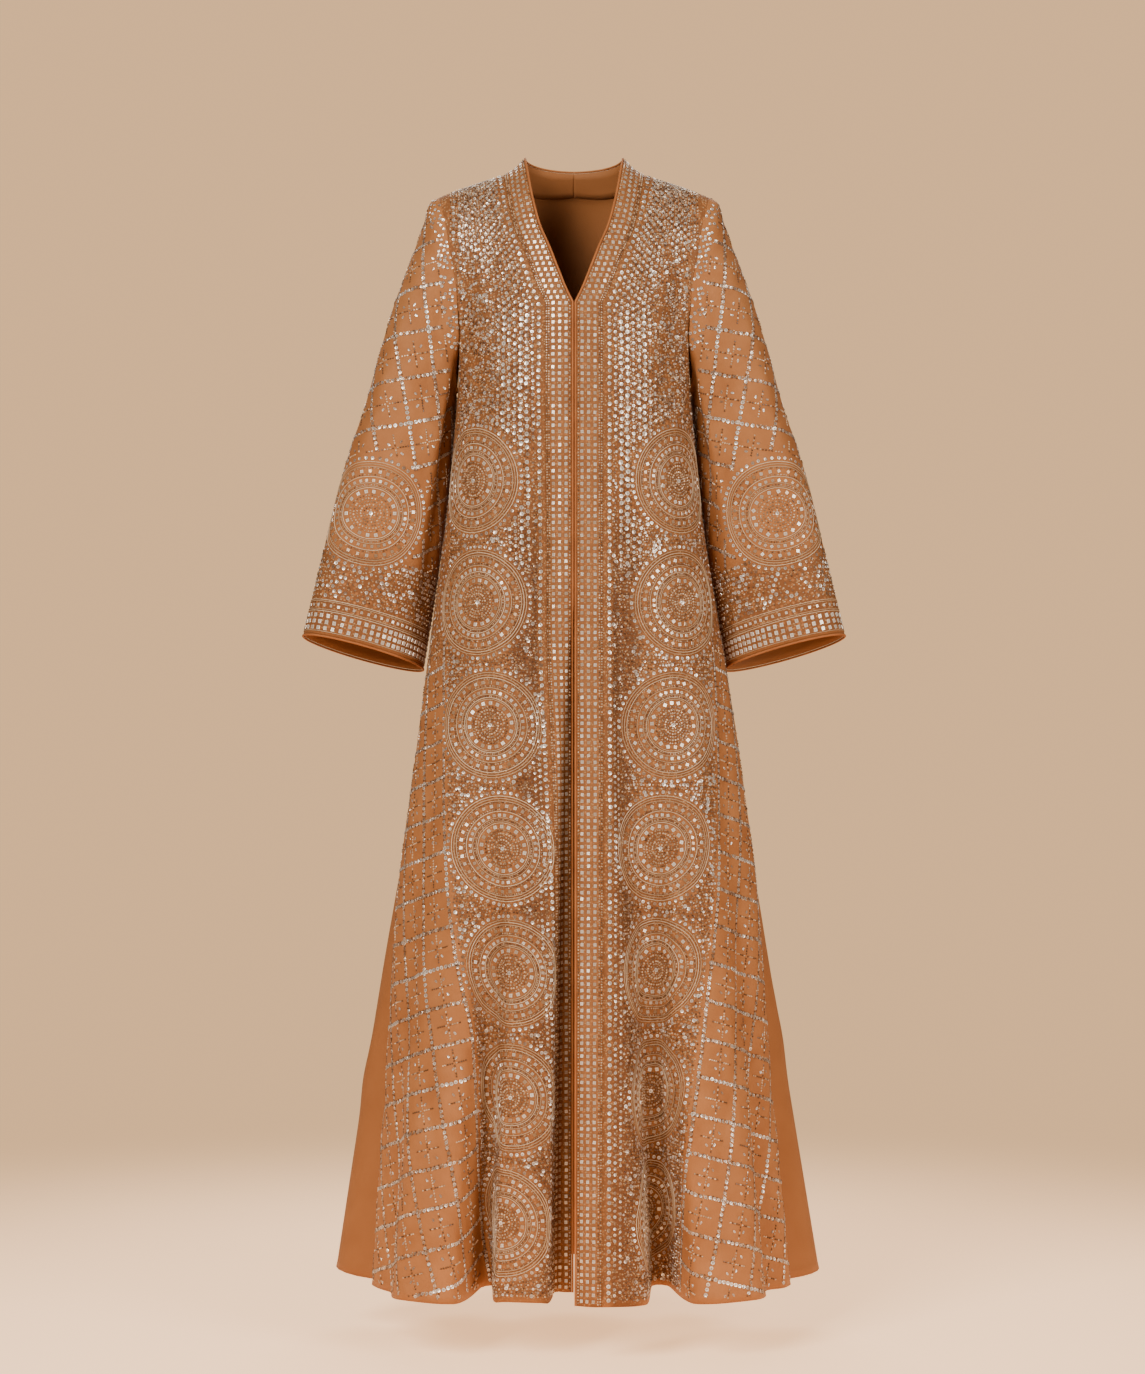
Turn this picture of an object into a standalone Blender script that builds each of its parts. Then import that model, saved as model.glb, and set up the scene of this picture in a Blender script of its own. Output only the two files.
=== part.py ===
"""Open-fronted abaya cloak, kept in its worn shape with no wearer. Metres, +Z up.

X runs to the wearer's left and Y to the back, so the fronts face -Y. The origin is on the centre
plane, level with the high points of the shoulders, where the wearer holds the cloak up.
A drop is a distance below the origin, and an out is a distance from the centre plane.
"""

import math

import bpy
from mathutils import Vector
from mathutils.kdtree import KDTree

# Cloth and seams
CLOTH_THICKNESS = 0.0016
BAND_THICKNESS = 0.0022
SEAM_GAP = 0.0003
BINDING_RADIUS = 0.0014
BINDING_SIDES_LEVEL = 1

# Heights, as drops
NECK_DROP = -0.009
SHOULDER_TIP_DROP = 0.042
V_DROP = 0.190
UNDERARM_DROP = 0.300
HEM_DROP = 1.468

# Breadths and depths
NECK_HALF = 0.0626
BAND_WIDTH = 0.034
SHOULDER_HALF = 0.178
SHOULDER_Y = 0.005
ARMHOLE_HALF_DEPTH = 0.055
SCOOP_POWER = 3.5
SCOOP_TOP_POWER = 0.5
SCOOP_FOOT_POWER = 0.85
SCOOP_GAIN = 2.43
BACK_NECK_OPENING_DEPTH = 0.050
BACK_NECK_SEAM_DEPTH = 0.067
BACK_NECK_OPENING_DROP = 0.000

# How full the shoulders roll over: 2 is an ellipse, and more is squarer
FRONT_ROLL = 2.0
BACK_ROLL_AT_NECK = 4.0
BACK_ROLL_AT_ARM = 2.0

# The free edge, as lengths along the cloth from the line where the fronts meet
BINDING_AXIS_AT = BINDING_RADIUS + SEAM_GAP
BAND_STARTS_AT = 2 * BINDING_RADIUS + 2 * SEAM_GAP
BAND_ENDS_AT = BAND_STARTS_AT + BAND_WIDTH

# Grid of the cloth
ROWS_TO_V = 8
ROWS_V_TO_UNDERARM = 5
FIRST_ROW_ANGLE = math.radians(4)
NECK_ROW_SHARE = 0.02
ROWS_BELOW_UNDERARM = 16
BAND_COLUMNS = 2
FRONT_COLUMNS = 27
BACK_NECK_COLUMNS = 9
BACK_SEAM_COLUMNS = 9
BACK_COLUMN_SPREAD = 1.3
SAMPLES_PER_ROW = 240
HALVINGS = 40
SAME_POINT = 0.00005

# Weights, beside its height, that rank a point of a seam
RANK_BY_OUT = 0.5
RANK_BY_DEPTH = 0.3

# Cloth hung into a fold is drawn up at the hem by this much for each square metre of depth
HEM_LIFT = 1.5

# Shoulder line, from the neck to the tip of the shoulder
SHOULDER_LINE = [
    # out, drop
    (0.0000, -0.0110),
    (0.0626, -0.0090),
    (0.0800, 0.0060),
    (0.0970, 0.0140),
    (0.1370, 0.0275),
    (0.1780, 0.0420),
]

# Edge of the neck opening, from the neck down to where the fronts meet
V_LINE = [
    # drop, out
    (-0.0090, 0.0626),
    (0.0150, 0.0587),
    (0.0454, 0.0534),
    (0.0898, 0.0426),
    (0.1189, 0.0304),
    (0.1516, 0.0180),
    (0.1843, 0.0044),
    (0.1900, 0.0000),
]

ARMHOLE_LINE = [
    # drop, out
    (0.042, 0.1780),
    (0.100, 0.1640),
    (0.171, 0.1530),
    (0.235, 0.1505),
    (0.300, 0.1530),
]

# Rings of the body below the underarm
BODY_RINGS = [
    # drop, out on the right, out on the left, depth of front, depth of back
    (0.300, 0.153, 0.153, 0.122, 0.100),
    (0.440, 0.165, 0.166, 0.119, 0.100),
    (0.600, 0.186, 0.190, 0.123, 0.116),
    (0.757, 0.206, 0.215, 0.131, 0.132),
    (0.950, 0.231, 0.240, 0.143, 0.150),
    (1.200, 0.250, 0.262, 0.161, 0.176),
    (1.468, 0.268, 0.287, 0.181, 0.206),
]

# Folds, as angles round the body from the middle of the front or of the back. Flat is half the
# width of a fold's floor or crest, and flank is how wide its side is at the top and at the hem.
SIDE_GROOVE = ("side_groove", 90, 90, 0, 10, 10, 0.95, 1.468, 2.0, 1.0, -0.012)
FOLDS = {
    "front_left": [
        # name, angle at top and hem, flat, flank at top and hem, starts, full, ends, growth, depth
        ("edge_lobe", 9, 10, 4, 8, 7, 0.60, 1.468, 2.0, 1.2, 0.014),
        ("deep_trough", 20, 25, 2.6, 14, 4.2, 0.30, 1.468, 2.0, 2.0, -0.080),
        ("outer_lobe", 46, 43, 5, 16, 14, 0.60, 1.468, 2.0, 1.4, 0.036),
        ("outer_hollow", 60, 64, 0, 12, 9, 0.80, 1.300, 2.0, 1.3, -0.012),
        SIDE_GROOVE,
    ],
    "front_right": [
        ("turned_in_edge", 0, 0, 5.0, 7, 2.4, 0.58, 1.468, 2.0, 0.75, -0.062),
        ("inner_lobe", 13, 14, 5, 8, 6, 0.62, 1.468, 2.0, 1.2, -0.014),
        ("trough", 25, 27.5, 1.6, 12, 4.2, 0.80, 1.468, 2.0, 1.5, -0.078),
        ("outer_lobe", 46, 44, 5, 16, 14, 0.60, 1.468, 2.0, 1.4, 0.040),
        ("bust_hollow", 19, 14, 0, 14, 12, 0.30, 0.520, 0.95, 1.0, -0.012),
        SIDE_GROOVE,
    ],
    "back_left": [
        ("side_flare", 73, 73, 3, 14, 13, 0.88, 1.468, 2.0, 0.85, 0.053),
        ("side_trough", 50, 51, 2, 14, 9, 0.72, 1.468, 2.0, 1.4, -0.050),
        ("lobe", 33, 33, 4, 12, 11, 0.62, 1.468, 2.0, 1.3, 0.026),
        ("middle_trough", 15, 16, 1, 13, 9, 0.50, 1.468, 2.0, 1.5, -0.044),
        SIDE_GROOVE,
    ],
    "back_right": [
        ("side_flare", 73, 73, 3, 14, 13, 0.88, 1.468, 2.0, 0.85, 0.063),
        ("side_trough", 53, 54, 2, 13, 9, 0.80, 1.468, 2.0, 1.5, -0.046),
        ("lobe", 36, 37, 5, 12, 11, 0.66, 1.468, 2.0, 1.3, 0.030),
        ("middle_trough", 19, 19, 2, 13, 9, 0.58, 1.468, 2.0, 1.5, -0.040),
        SIDE_GROOVE,
    ],
}

# Rings of the sleeve, from the armhole to the hem: its outer point, then its point under the arm,
# which hangs back beside the body
SLEEVE_RINGS = [
    # outer drop, outer out, inner drop, inner out, inner back, half depth
    (0.0420, 0.1780, 0.3000, 0.1530, 0.000, 0.055),
    (0.0500, 0.1895, 0.3020, 0.1577, 0.002, 0.059),
    (0.0760, 0.1975, 0.3110, 0.1586, 0.006, 0.064),
    (0.1277, 0.2158, 0.3310, 0.1601, 0.012, 0.068),
    (0.1777, 0.2356, 0.3620, 0.1620, 0.019, 0.068),
    (0.2435, 0.2553, 0.4040, 0.1648, 0.025, 0.066),
    (0.3158, 0.2750, 0.4500, 0.1687, 0.029, 0.063),
    (0.3950, 0.3014, 0.5060, 0.1752, 0.032, 0.060),
    (0.4700, 0.3205, 0.5560, 0.1824, 0.034, 0.057),
    (0.5450, 0.3390, 0.6100, 0.1908, 0.034, 0.054),
    (0.6185, 0.3566, 0.6620, 0.1994, 0.033, 0.051),
]
SLEEVE_HEM_TILT = 0.010
ARMHOLE_FADE_RINGS = 3

CLOTH_COLOR = (0.46, 0.20, 0.085, 1.0)
BAND_COLOR = (0.52, 0.27, 0.14, 1.0)
BINDING_COLOR = (0.42, 0.17, 0.065, 1.0)
CLOTH_ROUGHNESS = 0.7


def between(start, end, share):
    """The value or point that lies at this share of the way from start to end."""
    return start + (end - start) * share


def smooth(share):
    """Eases a share from 0 to 1, level at both ends."""
    share = min(max(share, 0.0), 1.0)
    return share * share * (3 - 2 * share)


def read_table(table, column, at):
    """Reads a column of a table at a value of its first column, along a smooth curve."""
    keys = [row[0] for row in table]
    values = [row[column] for row in table]
    if at <= keys[0]:
        return values[0]
    if at >= keys[-1]:
        return values[-1]
    step = max(i for i in range(len(keys) - 1) if keys[i] <= at)
    slopes = [(values[i + 1] - values[i]) / (keys[i + 1] - keys[i]) for i in range(len(keys) - 1)]

    def tangent(i):
        before, after = slopes[max(i - 1, 0)], slopes[min(i, len(slopes) - 1)]
        return 0.0 if before * after <= 0 else 2 * before * after / (before + after)

    width = keys[step + 1] - keys[step]
    share = (at - keys[step]) / width
    start, end = values[step], values[step + 1]
    rise = end - start
    curve = width * tangent(step) * (1 - share) - width * tangent(step + 1) * share
    curve += rise * (2 * share - 1)
    return start + rise * share + share * (1 - share) * curve


def pick_along(line, lengths):
    """Points of a finely drawn line at these lengths from its start."""
    picked, travelled, step = [], 0.0, 0
    for length in lengths:
        while step < len(line) - 2 and travelled + (line[step + 1] - line[step]).length < length:
            travelled += (line[step + 1] - line[step]).length
            step += 1
        stretch = (line[step + 1] - line[step]).length
        picked.append(line[step].lerp(line[step + 1], min((length - travelled) / stretch, 1.0)))
    return picked


def length_of(line):
    return sum((line[i + 1] - line[i]).length for i in range(len(line) - 1))


def row_angles():
    """Angles round the armhole at which the rows above the underarm end, from the shoulder tip."""
    share = (V_DROP - NECK_DROP) / (UNDERARM_DROP - NECK_DROP)
    v_angle = math.acos(1 - 2 * share)
    angles = [0.0, FIRST_ROW_ANGLE]
    for i in range(1, ROWS_TO_V):
        angles.append(between(FIRST_ROW_ANGLE, v_angle, i / (ROWS_TO_V - 1)))
    for i in range(1, ROWS_V_TO_UNDERARM + 1):
        angles.append(between(v_angle, math.pi, i / ROWS_V_TO_UNDERARM))
    return angles


ROW_ANGLES = row_angles()
LOWER_DROPS = [
    between(UNDERARM_DROP, HEM_DROP, i / ROWS_BELOW_UNDERARM)
    for i in range(1, ROWS_BELOW_UNDERARM + 1)
]


def roll(share, fullness):
    """How far forward or back the cloth has come at this share of its way down from the seam."""
    return (1 - (1 - share) ** fullness) ** (1 / fullness)


def chest_point(side, facing, around, share):
    """A point of the body above the underarm. Around runs from the centre plane (0) to the
    armhole (1), share from the shoulder line (0) to the underarm (1). Facing is -1 in front."""
    drop_at_arm = between(SHOULDER_TIP_DROP, UNDERARM_DROP, share)
    reach = read_table(ARMHOLE_LINE, 1, drop_at_arm)
    ring_angle = around * math.pi / 2
    out = reach * between(around, math.sin(ring_angle), share)
    if facing < 0:
        depth, fullness = BODY_RINGS[0][3], FRONT_ROLL
    else:
        depth, fullness = BODY_RINGS[0][4], between(BACK_ROLL_AT_NECK, BACK_ROLL_AT_ARM, around)
    depth *= math.cos(ring_angle)
    y = SHOULDER_Y + (facing * depth - SHOULDER_Y) * roll(share, fullness)
    scoop = SCOOP_GAIN * max(share, 0.0) ** SCOOP_TOP_POWER * max(1 - share, 0.0) ** SCOOP_FOOT_POWER
    y += facing * ARMHOLE_HALF_DEPTH * scoop * around**SCOOP_POWER
    top_at = around if facing < 0 else max(around, BAND_SEAM_AROUND)
    top = read_table(SHOULDER_LINE, 1, top_at * SHOULDER_HALF)
    return Vector((side * out, y, -between(top, UNDERARM_DROP, share)))


def fold_depth(panel, drop, angle):
    """How far the folds of a panel push it out (or in, below 0) at this drop and angle."""
    depth = 0.0
    for _, top, hem, flat, flank_top, flank_hem, starts, full, ends, growth, most in FOLDS[panel]:
        if drop <= starts or drop >= ends:
            continue
        down = (drop - UNDERARM_DROP) / (HEM_DROP - UNDERARM_DROP)
        flank = between(flank_top, flank_hem, down)
        beyond = abs(angle - between(top, hem, down)) - flat * down
        if beyond >= flank:
            continue
        grown = min((drop - starts) / (full - starts), 1.0) ** growth
        if drop > full:
            grown = 1 - smooth((drop - full) / (ends - full))
        depth += most * grown * (1 - smooth(beyond / flank))
    return depth


def skirt_point(panel, side, facing, drop, around):
    """A point of the body below the underarm, on the ring at this drop, folds and all."""
    reach = read_table(BODY_RINGS, 2 if side > 0 else 1, drop)
    depth = read_table(BODY_RINGS, 3 if facing < 0 else 4, drop)
    angle = around * math.pi / 2
    pushed = fold_depth(panel, drop, around * 90)
    toward = around * around * math.pi / 2
    x = reach * math.sin(angle) + pushed * math.sin(toward)
    y = depth * math.cos(angle) + pushed * math.cos(toward)
    return Vector((side * x, facing * y, -(drop - HEM_LIFT * pushed * pushed)))


def v_edge_share(share):
    """Where the neck opening cuts a front's row, as a share of the row from the centre plane."""
    drop = between(NECK_DROP, UNDERARM_DROP, share)
    if drop >= V_DROP:
        return 0.0
    target = read_table(V_LINE, 1, drop)
    low, high = 0.0, 1.0
    for _ in range(HALVINGS):
        middle = (low + high) / 2
        if chest_point(1, -1, middle, share).x < target:
            low = middle
        else:
            high = middle
    return low


def front_rows(panel, side):
    """Each row of a front and its band, from the shoulder to the hem, as a finely drawn line."""
    lines = []
    shares = [i / SAMPLES_PER_ROW for i in range(SAMPLES_PER_ROW + 1)]
    for angle in ROW_ANGLES:
        share = (1 - math.cos(angle)) / 2
        start = v_edge_share(share)
        lines.append([chest_point(side, -1, between(start, 1.0, s), share) for s in shares])
    for drop in LOWER_DROPS:
        lines.append([skirt_point(panel, side, -1, drop, s) for s in shares])
    return lines


def back_neck_share(around):
    """How far down the back the neck seam lies at this share of the way to the armhole."""
    seam_end = BAND_SEAM_AROUND
    if around >= seam_end:
        return 0.0
    behind = BACK_NECK_SEAM_DEPTH * math.sqrt(1 - (around / seam_end) ** 2)
    depth = BODY_RINGS[0][4] * math.cos(around * math.pi / 2) - SHOULDER_Y
    fullness = between(BACK_ROLL_AT_NECK, BACK_ROLL_AT_ARM, around)
    return 1 - (1 - (behind / depth) ** fullness) ** (1 / fullness)


def back_columns():
    """Columns of half of the back, from the centre to the armhole."""
    neck = [1 - (i / BACK_NECK_COLUMNS) ** BACK_COLUMN_SPREAD for i in range(BACK_NECK_COLUMNS, -1, -1)]
    seam = [i / BACK_SEAM_COLUMNS for i in range(1, BACK_SEAM_COLUMNS + 1)]
    columns = [BAND_SEAM_AROUND * share for share in neck]
    return columns + [between(BAND_SEAM_AROUND, 1.0, share) for share in seam]


def back_half(side):
    """Grid of half of the back, each row from the centre to the side."""
    panel = "back_left" if side > 0 else "back_right"
    columns = back_columns()
    grid = []
    for angle in ROW_ANGLES:
        share = (1 - math.cos(angle)) / 2
        row = []
        for around in columns:
            top = back_neck_share(around)
            if angle > 0:
                top += NECK_ROW_SHARE * math.sqrt(max(1 - (around / BAND_SEAM_AROUND) ** 2, 0.0))
            row.append(chest_point(side, 1, around, between(top, 1.0, share)))
        grid.append(row)
    for drop in LOWER_DROPS:
        grid.append([skirt_point(panel, side, 1, drop, around) for around in columns])
    return grid


def band_seam_around():
    """Where the band's outer edge meets the shoulder seam, as a share of the way to the armhole."""
    shares = [i / SAMPLES_PER_ROW for i in range(SAMPLES_PER_ROW + 1)]
    start = NECK_HALF / SHOULDER_HALF
    line = [chest_point(1, -1, between(start, 1.0, s), 0.0) for s in shares]
    return pick_along(line, [BAND_ENDS_AT])[0].x / SHOULDER_HALF


BAND_SEAM_AROUND = band_seam_around()


def front_grids(panel, side):
    """Grids of a front's band and of the front itself, and the line its binding follows."""
    band, front, binding = [], [], []
    for line in front_rows(panel, side):
        whole = length_of(line)
        band_at = [between(BAND_STARTS_AT, BAND_ENDS_AT, i / BAND_COLUMNS) for i in range(BAND_COLUMNS + 1)]
        front_at = [between(BAND_ENDS_AT, whole, i / FRONT_COLUMNS) for i in range(FRONT_COLUMNS + 1)]
        picked = pick_along(line, [BINDING_AXIS_AT] + band_at + front_at[1:])
        picked[-1] = line[-1].copy()
        binding.append(picked[0])
        band.append(picked[1 : BAND_COLUMNS + 2])
        front.append(picked[BAND_COLUMNS + 1 :])
    return band, front, binding


def back_neck_stations(side, seam_points, shoulder_row):
    """Carries the binding and the band on from the shoulder to the centre of the back neck."""
    stations = []
    bows = []
    for outer in seam_points:
        cosine = min(abs(outer.x) / abs(seam_points[0].x), 1.0)
        sine = math.sqrt(1 - cosine * cosine)
        y = SHOULDER_Y + BACK_NECK_OPENING_DEPTH * sine
        drop = between(NECK_DROP, BACK_NECK_OPENING_DROP, sine)
        opening = Vector((side * NECK_HALF * cosine, y, -drop))
        across = (outer - opening).length
        spans = [BINDING_AXIS_AT]
        for i in range(BAND_COLUMNS + 1):
            spans.append(between(BAND_STARTS_AT, across, i / BAND_COLUMNS))
        station = [opening.lerp(outer, span / across) for span in spans]
        if not bows:
            bows = [given - straight for given, straight in zip(shoulder_row, station)]
        stations.append([point + bow * cosine for point, bow in zip(station, bows)])
    return stations


def sleeve_grid(side, armhole):
    """Rings of a sleeve. The first is the armhole, and each ring's points keep to its angles."""
    angles = ROW_ANGLES + [2 * math.pi - angle for angle in ROW_ANGLES[-2:0:-1]]
    grid = []
    drifts = []
    for number, measures in enumerate(SLEEVE_RINGS):
        outer_drop, outer_out, inner_drop, inner_out, inner_back, half_depth = measures
        ring = []
        last = len(SLEEVE_RINGS) - 1
        for i, angle in enumerate(angles):
            lean = (1 + math.cos(angle)) / 2
            drop = between(inner_drop, outer_drop, lean)
            drop -= SLEEVE_HEM_TILT * math.sin(angle) * (number / last) ** 2
            out = between(inner_out, outer_out, lean)
            y = between(inner_back, SHOULDER_Y, lean) - half_depth * math.sin(angle)
            point = Vector((side * out, y, -drop))
            if number == 0:
                drifts.append(armhole[i] - point)
            fade = max(1 - number / ARMHOLE_FADE_RINGS, 0.0) ** 2
            ring.append(point + drifts[i] * fade)
        grid.append(ring)
    return grid


def grid_faces(rows, columns, wrap):
    """Corners of each face of a grid, as (row, column) pairs, turning so that the face looks out."""
    faces = []
    for i in range(rows - 1):
        for j in range(columns if wrap else columns - 1):
            k = (j + 1) % columns
            faces.append([(i, j), (i + 1, j), (i + 1, k), (i, k)])
    return faces


def shared_normals(surfaces):
    """Normals at every point, shared by the pieces that meet there, so walls meet face to face."""
    points, pushes = [], []
    for grid, wrap, turned in surfaces:
        for face in grid_faces(len(grid), len(grid[0]), wrap):
            a, b, c, d = [grid[i][j] for i, j in face]
            normal = (c - a).cross(d - b) * (-1 if turned else 1)
            points += [a, b, c, d]
            pushes += [normal] * 4
    tree = KDTree(len(points))
    for number, point in enumerate(points):
        tree.insert(point, number)
    tree.balance()

    def normal_at(point):
        near = tree.find_range(point, SAME_POINT)
        return sum((pushes[number] for _, number, _ in near), Vector((0, 0, 0))).normalized()

    return normal_at


def drawn_in(edge, inside, gap):
    """The points of an edge, moved a gap square to it, towards the points inside it."""
    moved = []
    for i, point in enumerate(edge):
        along = (edge[min(i + 1, len(edge) - 1)] - edge[max(i - 1, 0)]).normalized()
        inward = inside[i] - point
        inward -= along * inward.dot(along)
        moved.append(point + inward.normalized() * gap)
    return moved


def pull_in(grid, gap, edges):
    """Draws the named edges of a grid in from their seams by a gap."""
    drawn = [list(row) for row in grid]
    if "first_row" in edges:
        drawn[0] = drawn_in(grid[0], grid[1], gap)
    for edge, column, inside in (("first_column", 0, 1), ("last_column", -1, -2)):
        if edge in edges:
            moved = drawn_in([row[column] for row in grid], [row[inside] for row in grid], gap)
            for row, point, given in zip(drawn, moved, grid):
                row[column] = row[column] + (point - given[column])
    return drawn


def turned_over(face):
    """A face that looks the other way and still splits along the same diagonal."""
    return face[:1] + face[:0:-1]


def splits_first(point):
    """Ranks the points of a seam, so that the edges of the two walls that meet there split alike."""
    return point.z + RANK_BY_OUT * abs(point.x) + RANK_BY_DEPTH * point.y


def wall(name, grid, normals, thickness, wrap=False, turned=False):
    """A closed wall of cloth: the grid is its outer side, and its inner side is a thickness in."""
    rows, columns = len(grid), len(grid[0])
    outer = [point for row in grid for point in row]
    inner = [point - normal * thickness for point, normal in zip(outer, normals)]
    count = rows * columns
    faces = []
    for corners in grid_faces(rows, columns, wrap):
        face = [i * columns + j for i, j in corners]
        faces.append(face)
        faces.append([count + corner for corner in turned_over(face)])
    edges = [[(0, j) for j in range(columns)], [(rows - 1, j) for j in reversed(range(columns))]]
    if wrap:
        edges = [edge + edge[:1] for edge in edges]
    else:
        edges.append([(i, columns - 1) for i in range(rows)])
        edges.append([(i, 0) for i in reversed(range(rows))])
    for edge in edges:
        for (i, j), (k, m) in zip(edge, edge[1:]):
            here, there = i * columns + j, k * columns + m
            if splits_first(outer[here]) > splits_first(outer[there]):
                faces.append([here, there, count + there, count + here])
            else:
                faces.append([there, count + there, count + here, here])
    if turned:
        faces = [turned_over(face) for face in faces]
    mesh = bpy.data.meshes.new(name)
    mesh.from_pydata([*outer, *inner], [], faces)
    mesh.validate()
    mesh.shade_smooth()
    return add_piece(name, mesh)


def binding(name, path, cyclic=False):
    """A narrow rolled binding: a round cord of cloth along its path."""
    curve = bpy.data.curves.new(name, "CURVE")
    curve.dimensions = "3D"
    curve.bevel_depth = BINDING_RADIUS
    curve.bevel_resolution = BINDING_SIDES_LEVEL
    curve.use_fill_caps = not cyclic
    spline = curve.splines.new("POLY")
    spline.points.add(len(path) - 1)
    for spline_point, point in zip(spline.points, path):
        spline_point.co = (*point, 1.0)
    spline.use_cyclic_u = cyclic
    return add_piece(name, curve)


def add_piece(name, data):
    piece = bpy.data.objects.new(name, data)
    cloak_parts.objects.link(piece)
    color = CLOTH_COLOR
    if name.startswith("band"):
        color = BAND_COLOR
    if "binding" in name:
        color = BINDING_COLOR
    material = bpy.data.materials.new(name)
    material.use_nodes = True
    shader = material.node_tree.nodes["Principled BSDF"]
    shader.inputs["Base Color"].default_value = color
    shader.inputs["Roughness"].default_value = CLOTH_ROUGHNESS
    shader.inputs["Metallic"].default_value = 0.0
    data.materials.append(material)
    return piece


for old in list(bpy.data.objects):
    bpy.data.objects.remove(old)
cloak_parts = bpy.data.collections.new("abaya_cloak")
bpy.context.scene.collection.children.link(cloak_parts)

# The whole cloak as one continuous surface, piece by piece
halves = {side: back_half(side) for side in (-1, 1)}
back_grid = [
    list(reversed(halves[-1][i])) + halves[1][i][1:] for i in range(len(halves[1]))
]
surfaces = {"back": (back_grid, False, True)}
binding_paths = {}
for side, hand in ((1, "left"), (-1, "right")):
    band_grid, front_grid, binding_line = front_grids("front_" + hand, side)
    neck_seam = halves[side][0][BACK_NECK_COLUMNS::-1]
    shoulder_row = [binding_line[0]] + band_grid[0]
    stations = back_neck_stations(side, neck_seam, shoulder_row)
    whole_band = [station[1:] for station in reversed(stations[1:])] + band_grid
    binding_paths[hand] = [station[0] for station in reversed(stations[1:])] + binding_line
    front_arm = [row[-1] for row in front_grid[: len(ROW_ANGLES)]]
    back_arm = [row[-1] for row in halves[side][: len(ROW_ANGLES)]]
    armhole = front_arm + back_arm[-2:0:-1]
    surfaces["front_" + hand] = (front_grid, False, side < 0)
    surfaces["band_" + hand] = (whole_band, False, side < 0)
    surfaces["sleeve_" + hand] = (sleeve_grid(side, armhole), True, side > 0)

normal_at = shared_normals(surfaces.values())
HALF_GAP = SEAM_GAP / 2
SEWN_EDGES = {
    "back": ("first_row", "first_column", "last_column"),
    "front": ("first_row", "first_column", "last_column"),
    "band": ("first_row", "last_column"),
    "sleeve": ("first_row",),
}
for name, (grid, wrap, turned) in surfaces.items():
    kind = name.split("_")[0]
    normals = [normal_at(point) for row in grid for point in row]
    thickness = BAND_THICKNESS if kind == "band" else CLOTH_THICKNESS
    drawn = pull_in(grid, HALF_GAP, SEWN_EDGES[kind])
    wall(name, drawn, normals, thickness, wrap, turned)

for side, hand in ((1, "left"), (-1, "right")):
    path = binding_paths[hand]
    path[0] = path[0] + Vector((side * HALF_GAP, 0, 0))
    binding("binding_" + hand, path)
    hem_ring = surfaces["sleeve_" + hand][0][-1]
    ring_before = surfaces["sleeve_" + hand][0][-2]
    hem_path = [
        point + (point - before).normalized() * (BINDING_RADIUS + SEAM_GAP)
        for point, before in zip(hem_ring, ring_before)
    ]
    binding("cuff_binding_" + hand, hem_path, cyclic=True)
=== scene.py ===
"""An open-fronted abaya cloak of rust crepe, worked with sequins, mirrors, beads and couched thread."""

import math

import bpy
import bmesh
import numpy as np
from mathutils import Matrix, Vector


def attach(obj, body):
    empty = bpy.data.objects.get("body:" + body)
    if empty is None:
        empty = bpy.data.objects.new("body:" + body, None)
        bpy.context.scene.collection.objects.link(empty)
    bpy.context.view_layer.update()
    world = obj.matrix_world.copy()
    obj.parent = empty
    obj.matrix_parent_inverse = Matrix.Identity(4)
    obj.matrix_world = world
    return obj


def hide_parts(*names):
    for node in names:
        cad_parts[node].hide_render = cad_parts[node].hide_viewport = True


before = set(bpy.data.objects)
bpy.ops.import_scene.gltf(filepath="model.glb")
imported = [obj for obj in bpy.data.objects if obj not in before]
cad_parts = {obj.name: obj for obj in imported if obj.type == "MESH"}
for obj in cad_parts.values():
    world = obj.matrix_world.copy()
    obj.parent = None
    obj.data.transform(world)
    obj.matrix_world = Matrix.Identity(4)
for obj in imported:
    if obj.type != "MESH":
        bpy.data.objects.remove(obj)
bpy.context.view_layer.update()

# ---- The draped cloak --------------------------------------------------------------------------
# The fronts and the back are cut in flared panels of crepe and hang from the shoulders. Each panel
# is laid on the same shape as its solid, with the soft creases that the cloth falls into besides.

NECK_DROP = -0.009
SHOULDER_TIP_DROP = 0.042
V_DROP = 0.190
UNDERARM_DROP = 0.300
HEM_DROP = 1.468
NECK_HALF = 0.0626
SHOULDER_HALF = 0.178
SHOULDER_Y = 0.005
ARMHOLE_HALF_DEPTH = 0.055
SCOOP_POWER = 3.5
SCOOP_TOP_POWER = 0.5
SCOOP_FOOT_POWER = 0.85
SCOOP_GAIN = 2.43
BACK_NECK_SEAM_DEPTH = 0.067
FRONT_ROLL = 2.0
BACK_ROLL_AT_NECK = 4.0
BACK_ROLL_AT_ARM = 2.0
HEM_LIFT = 1.5
BINDING_RADIUS = 0.0014
SEAM_GAP = 0.0003
BAND_WIDTH = 0.034
BINDING_AXIS_AT = BINDING_RADIUS + SEAM_GAP
BAND_STARTS_AT = 2 * BINDING_AXIS_AT
BAND_ENDS_AT = BAND_STARTS_AT + BAND_WIDTH
CREPE_THICKNESS = 0.0014

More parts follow.
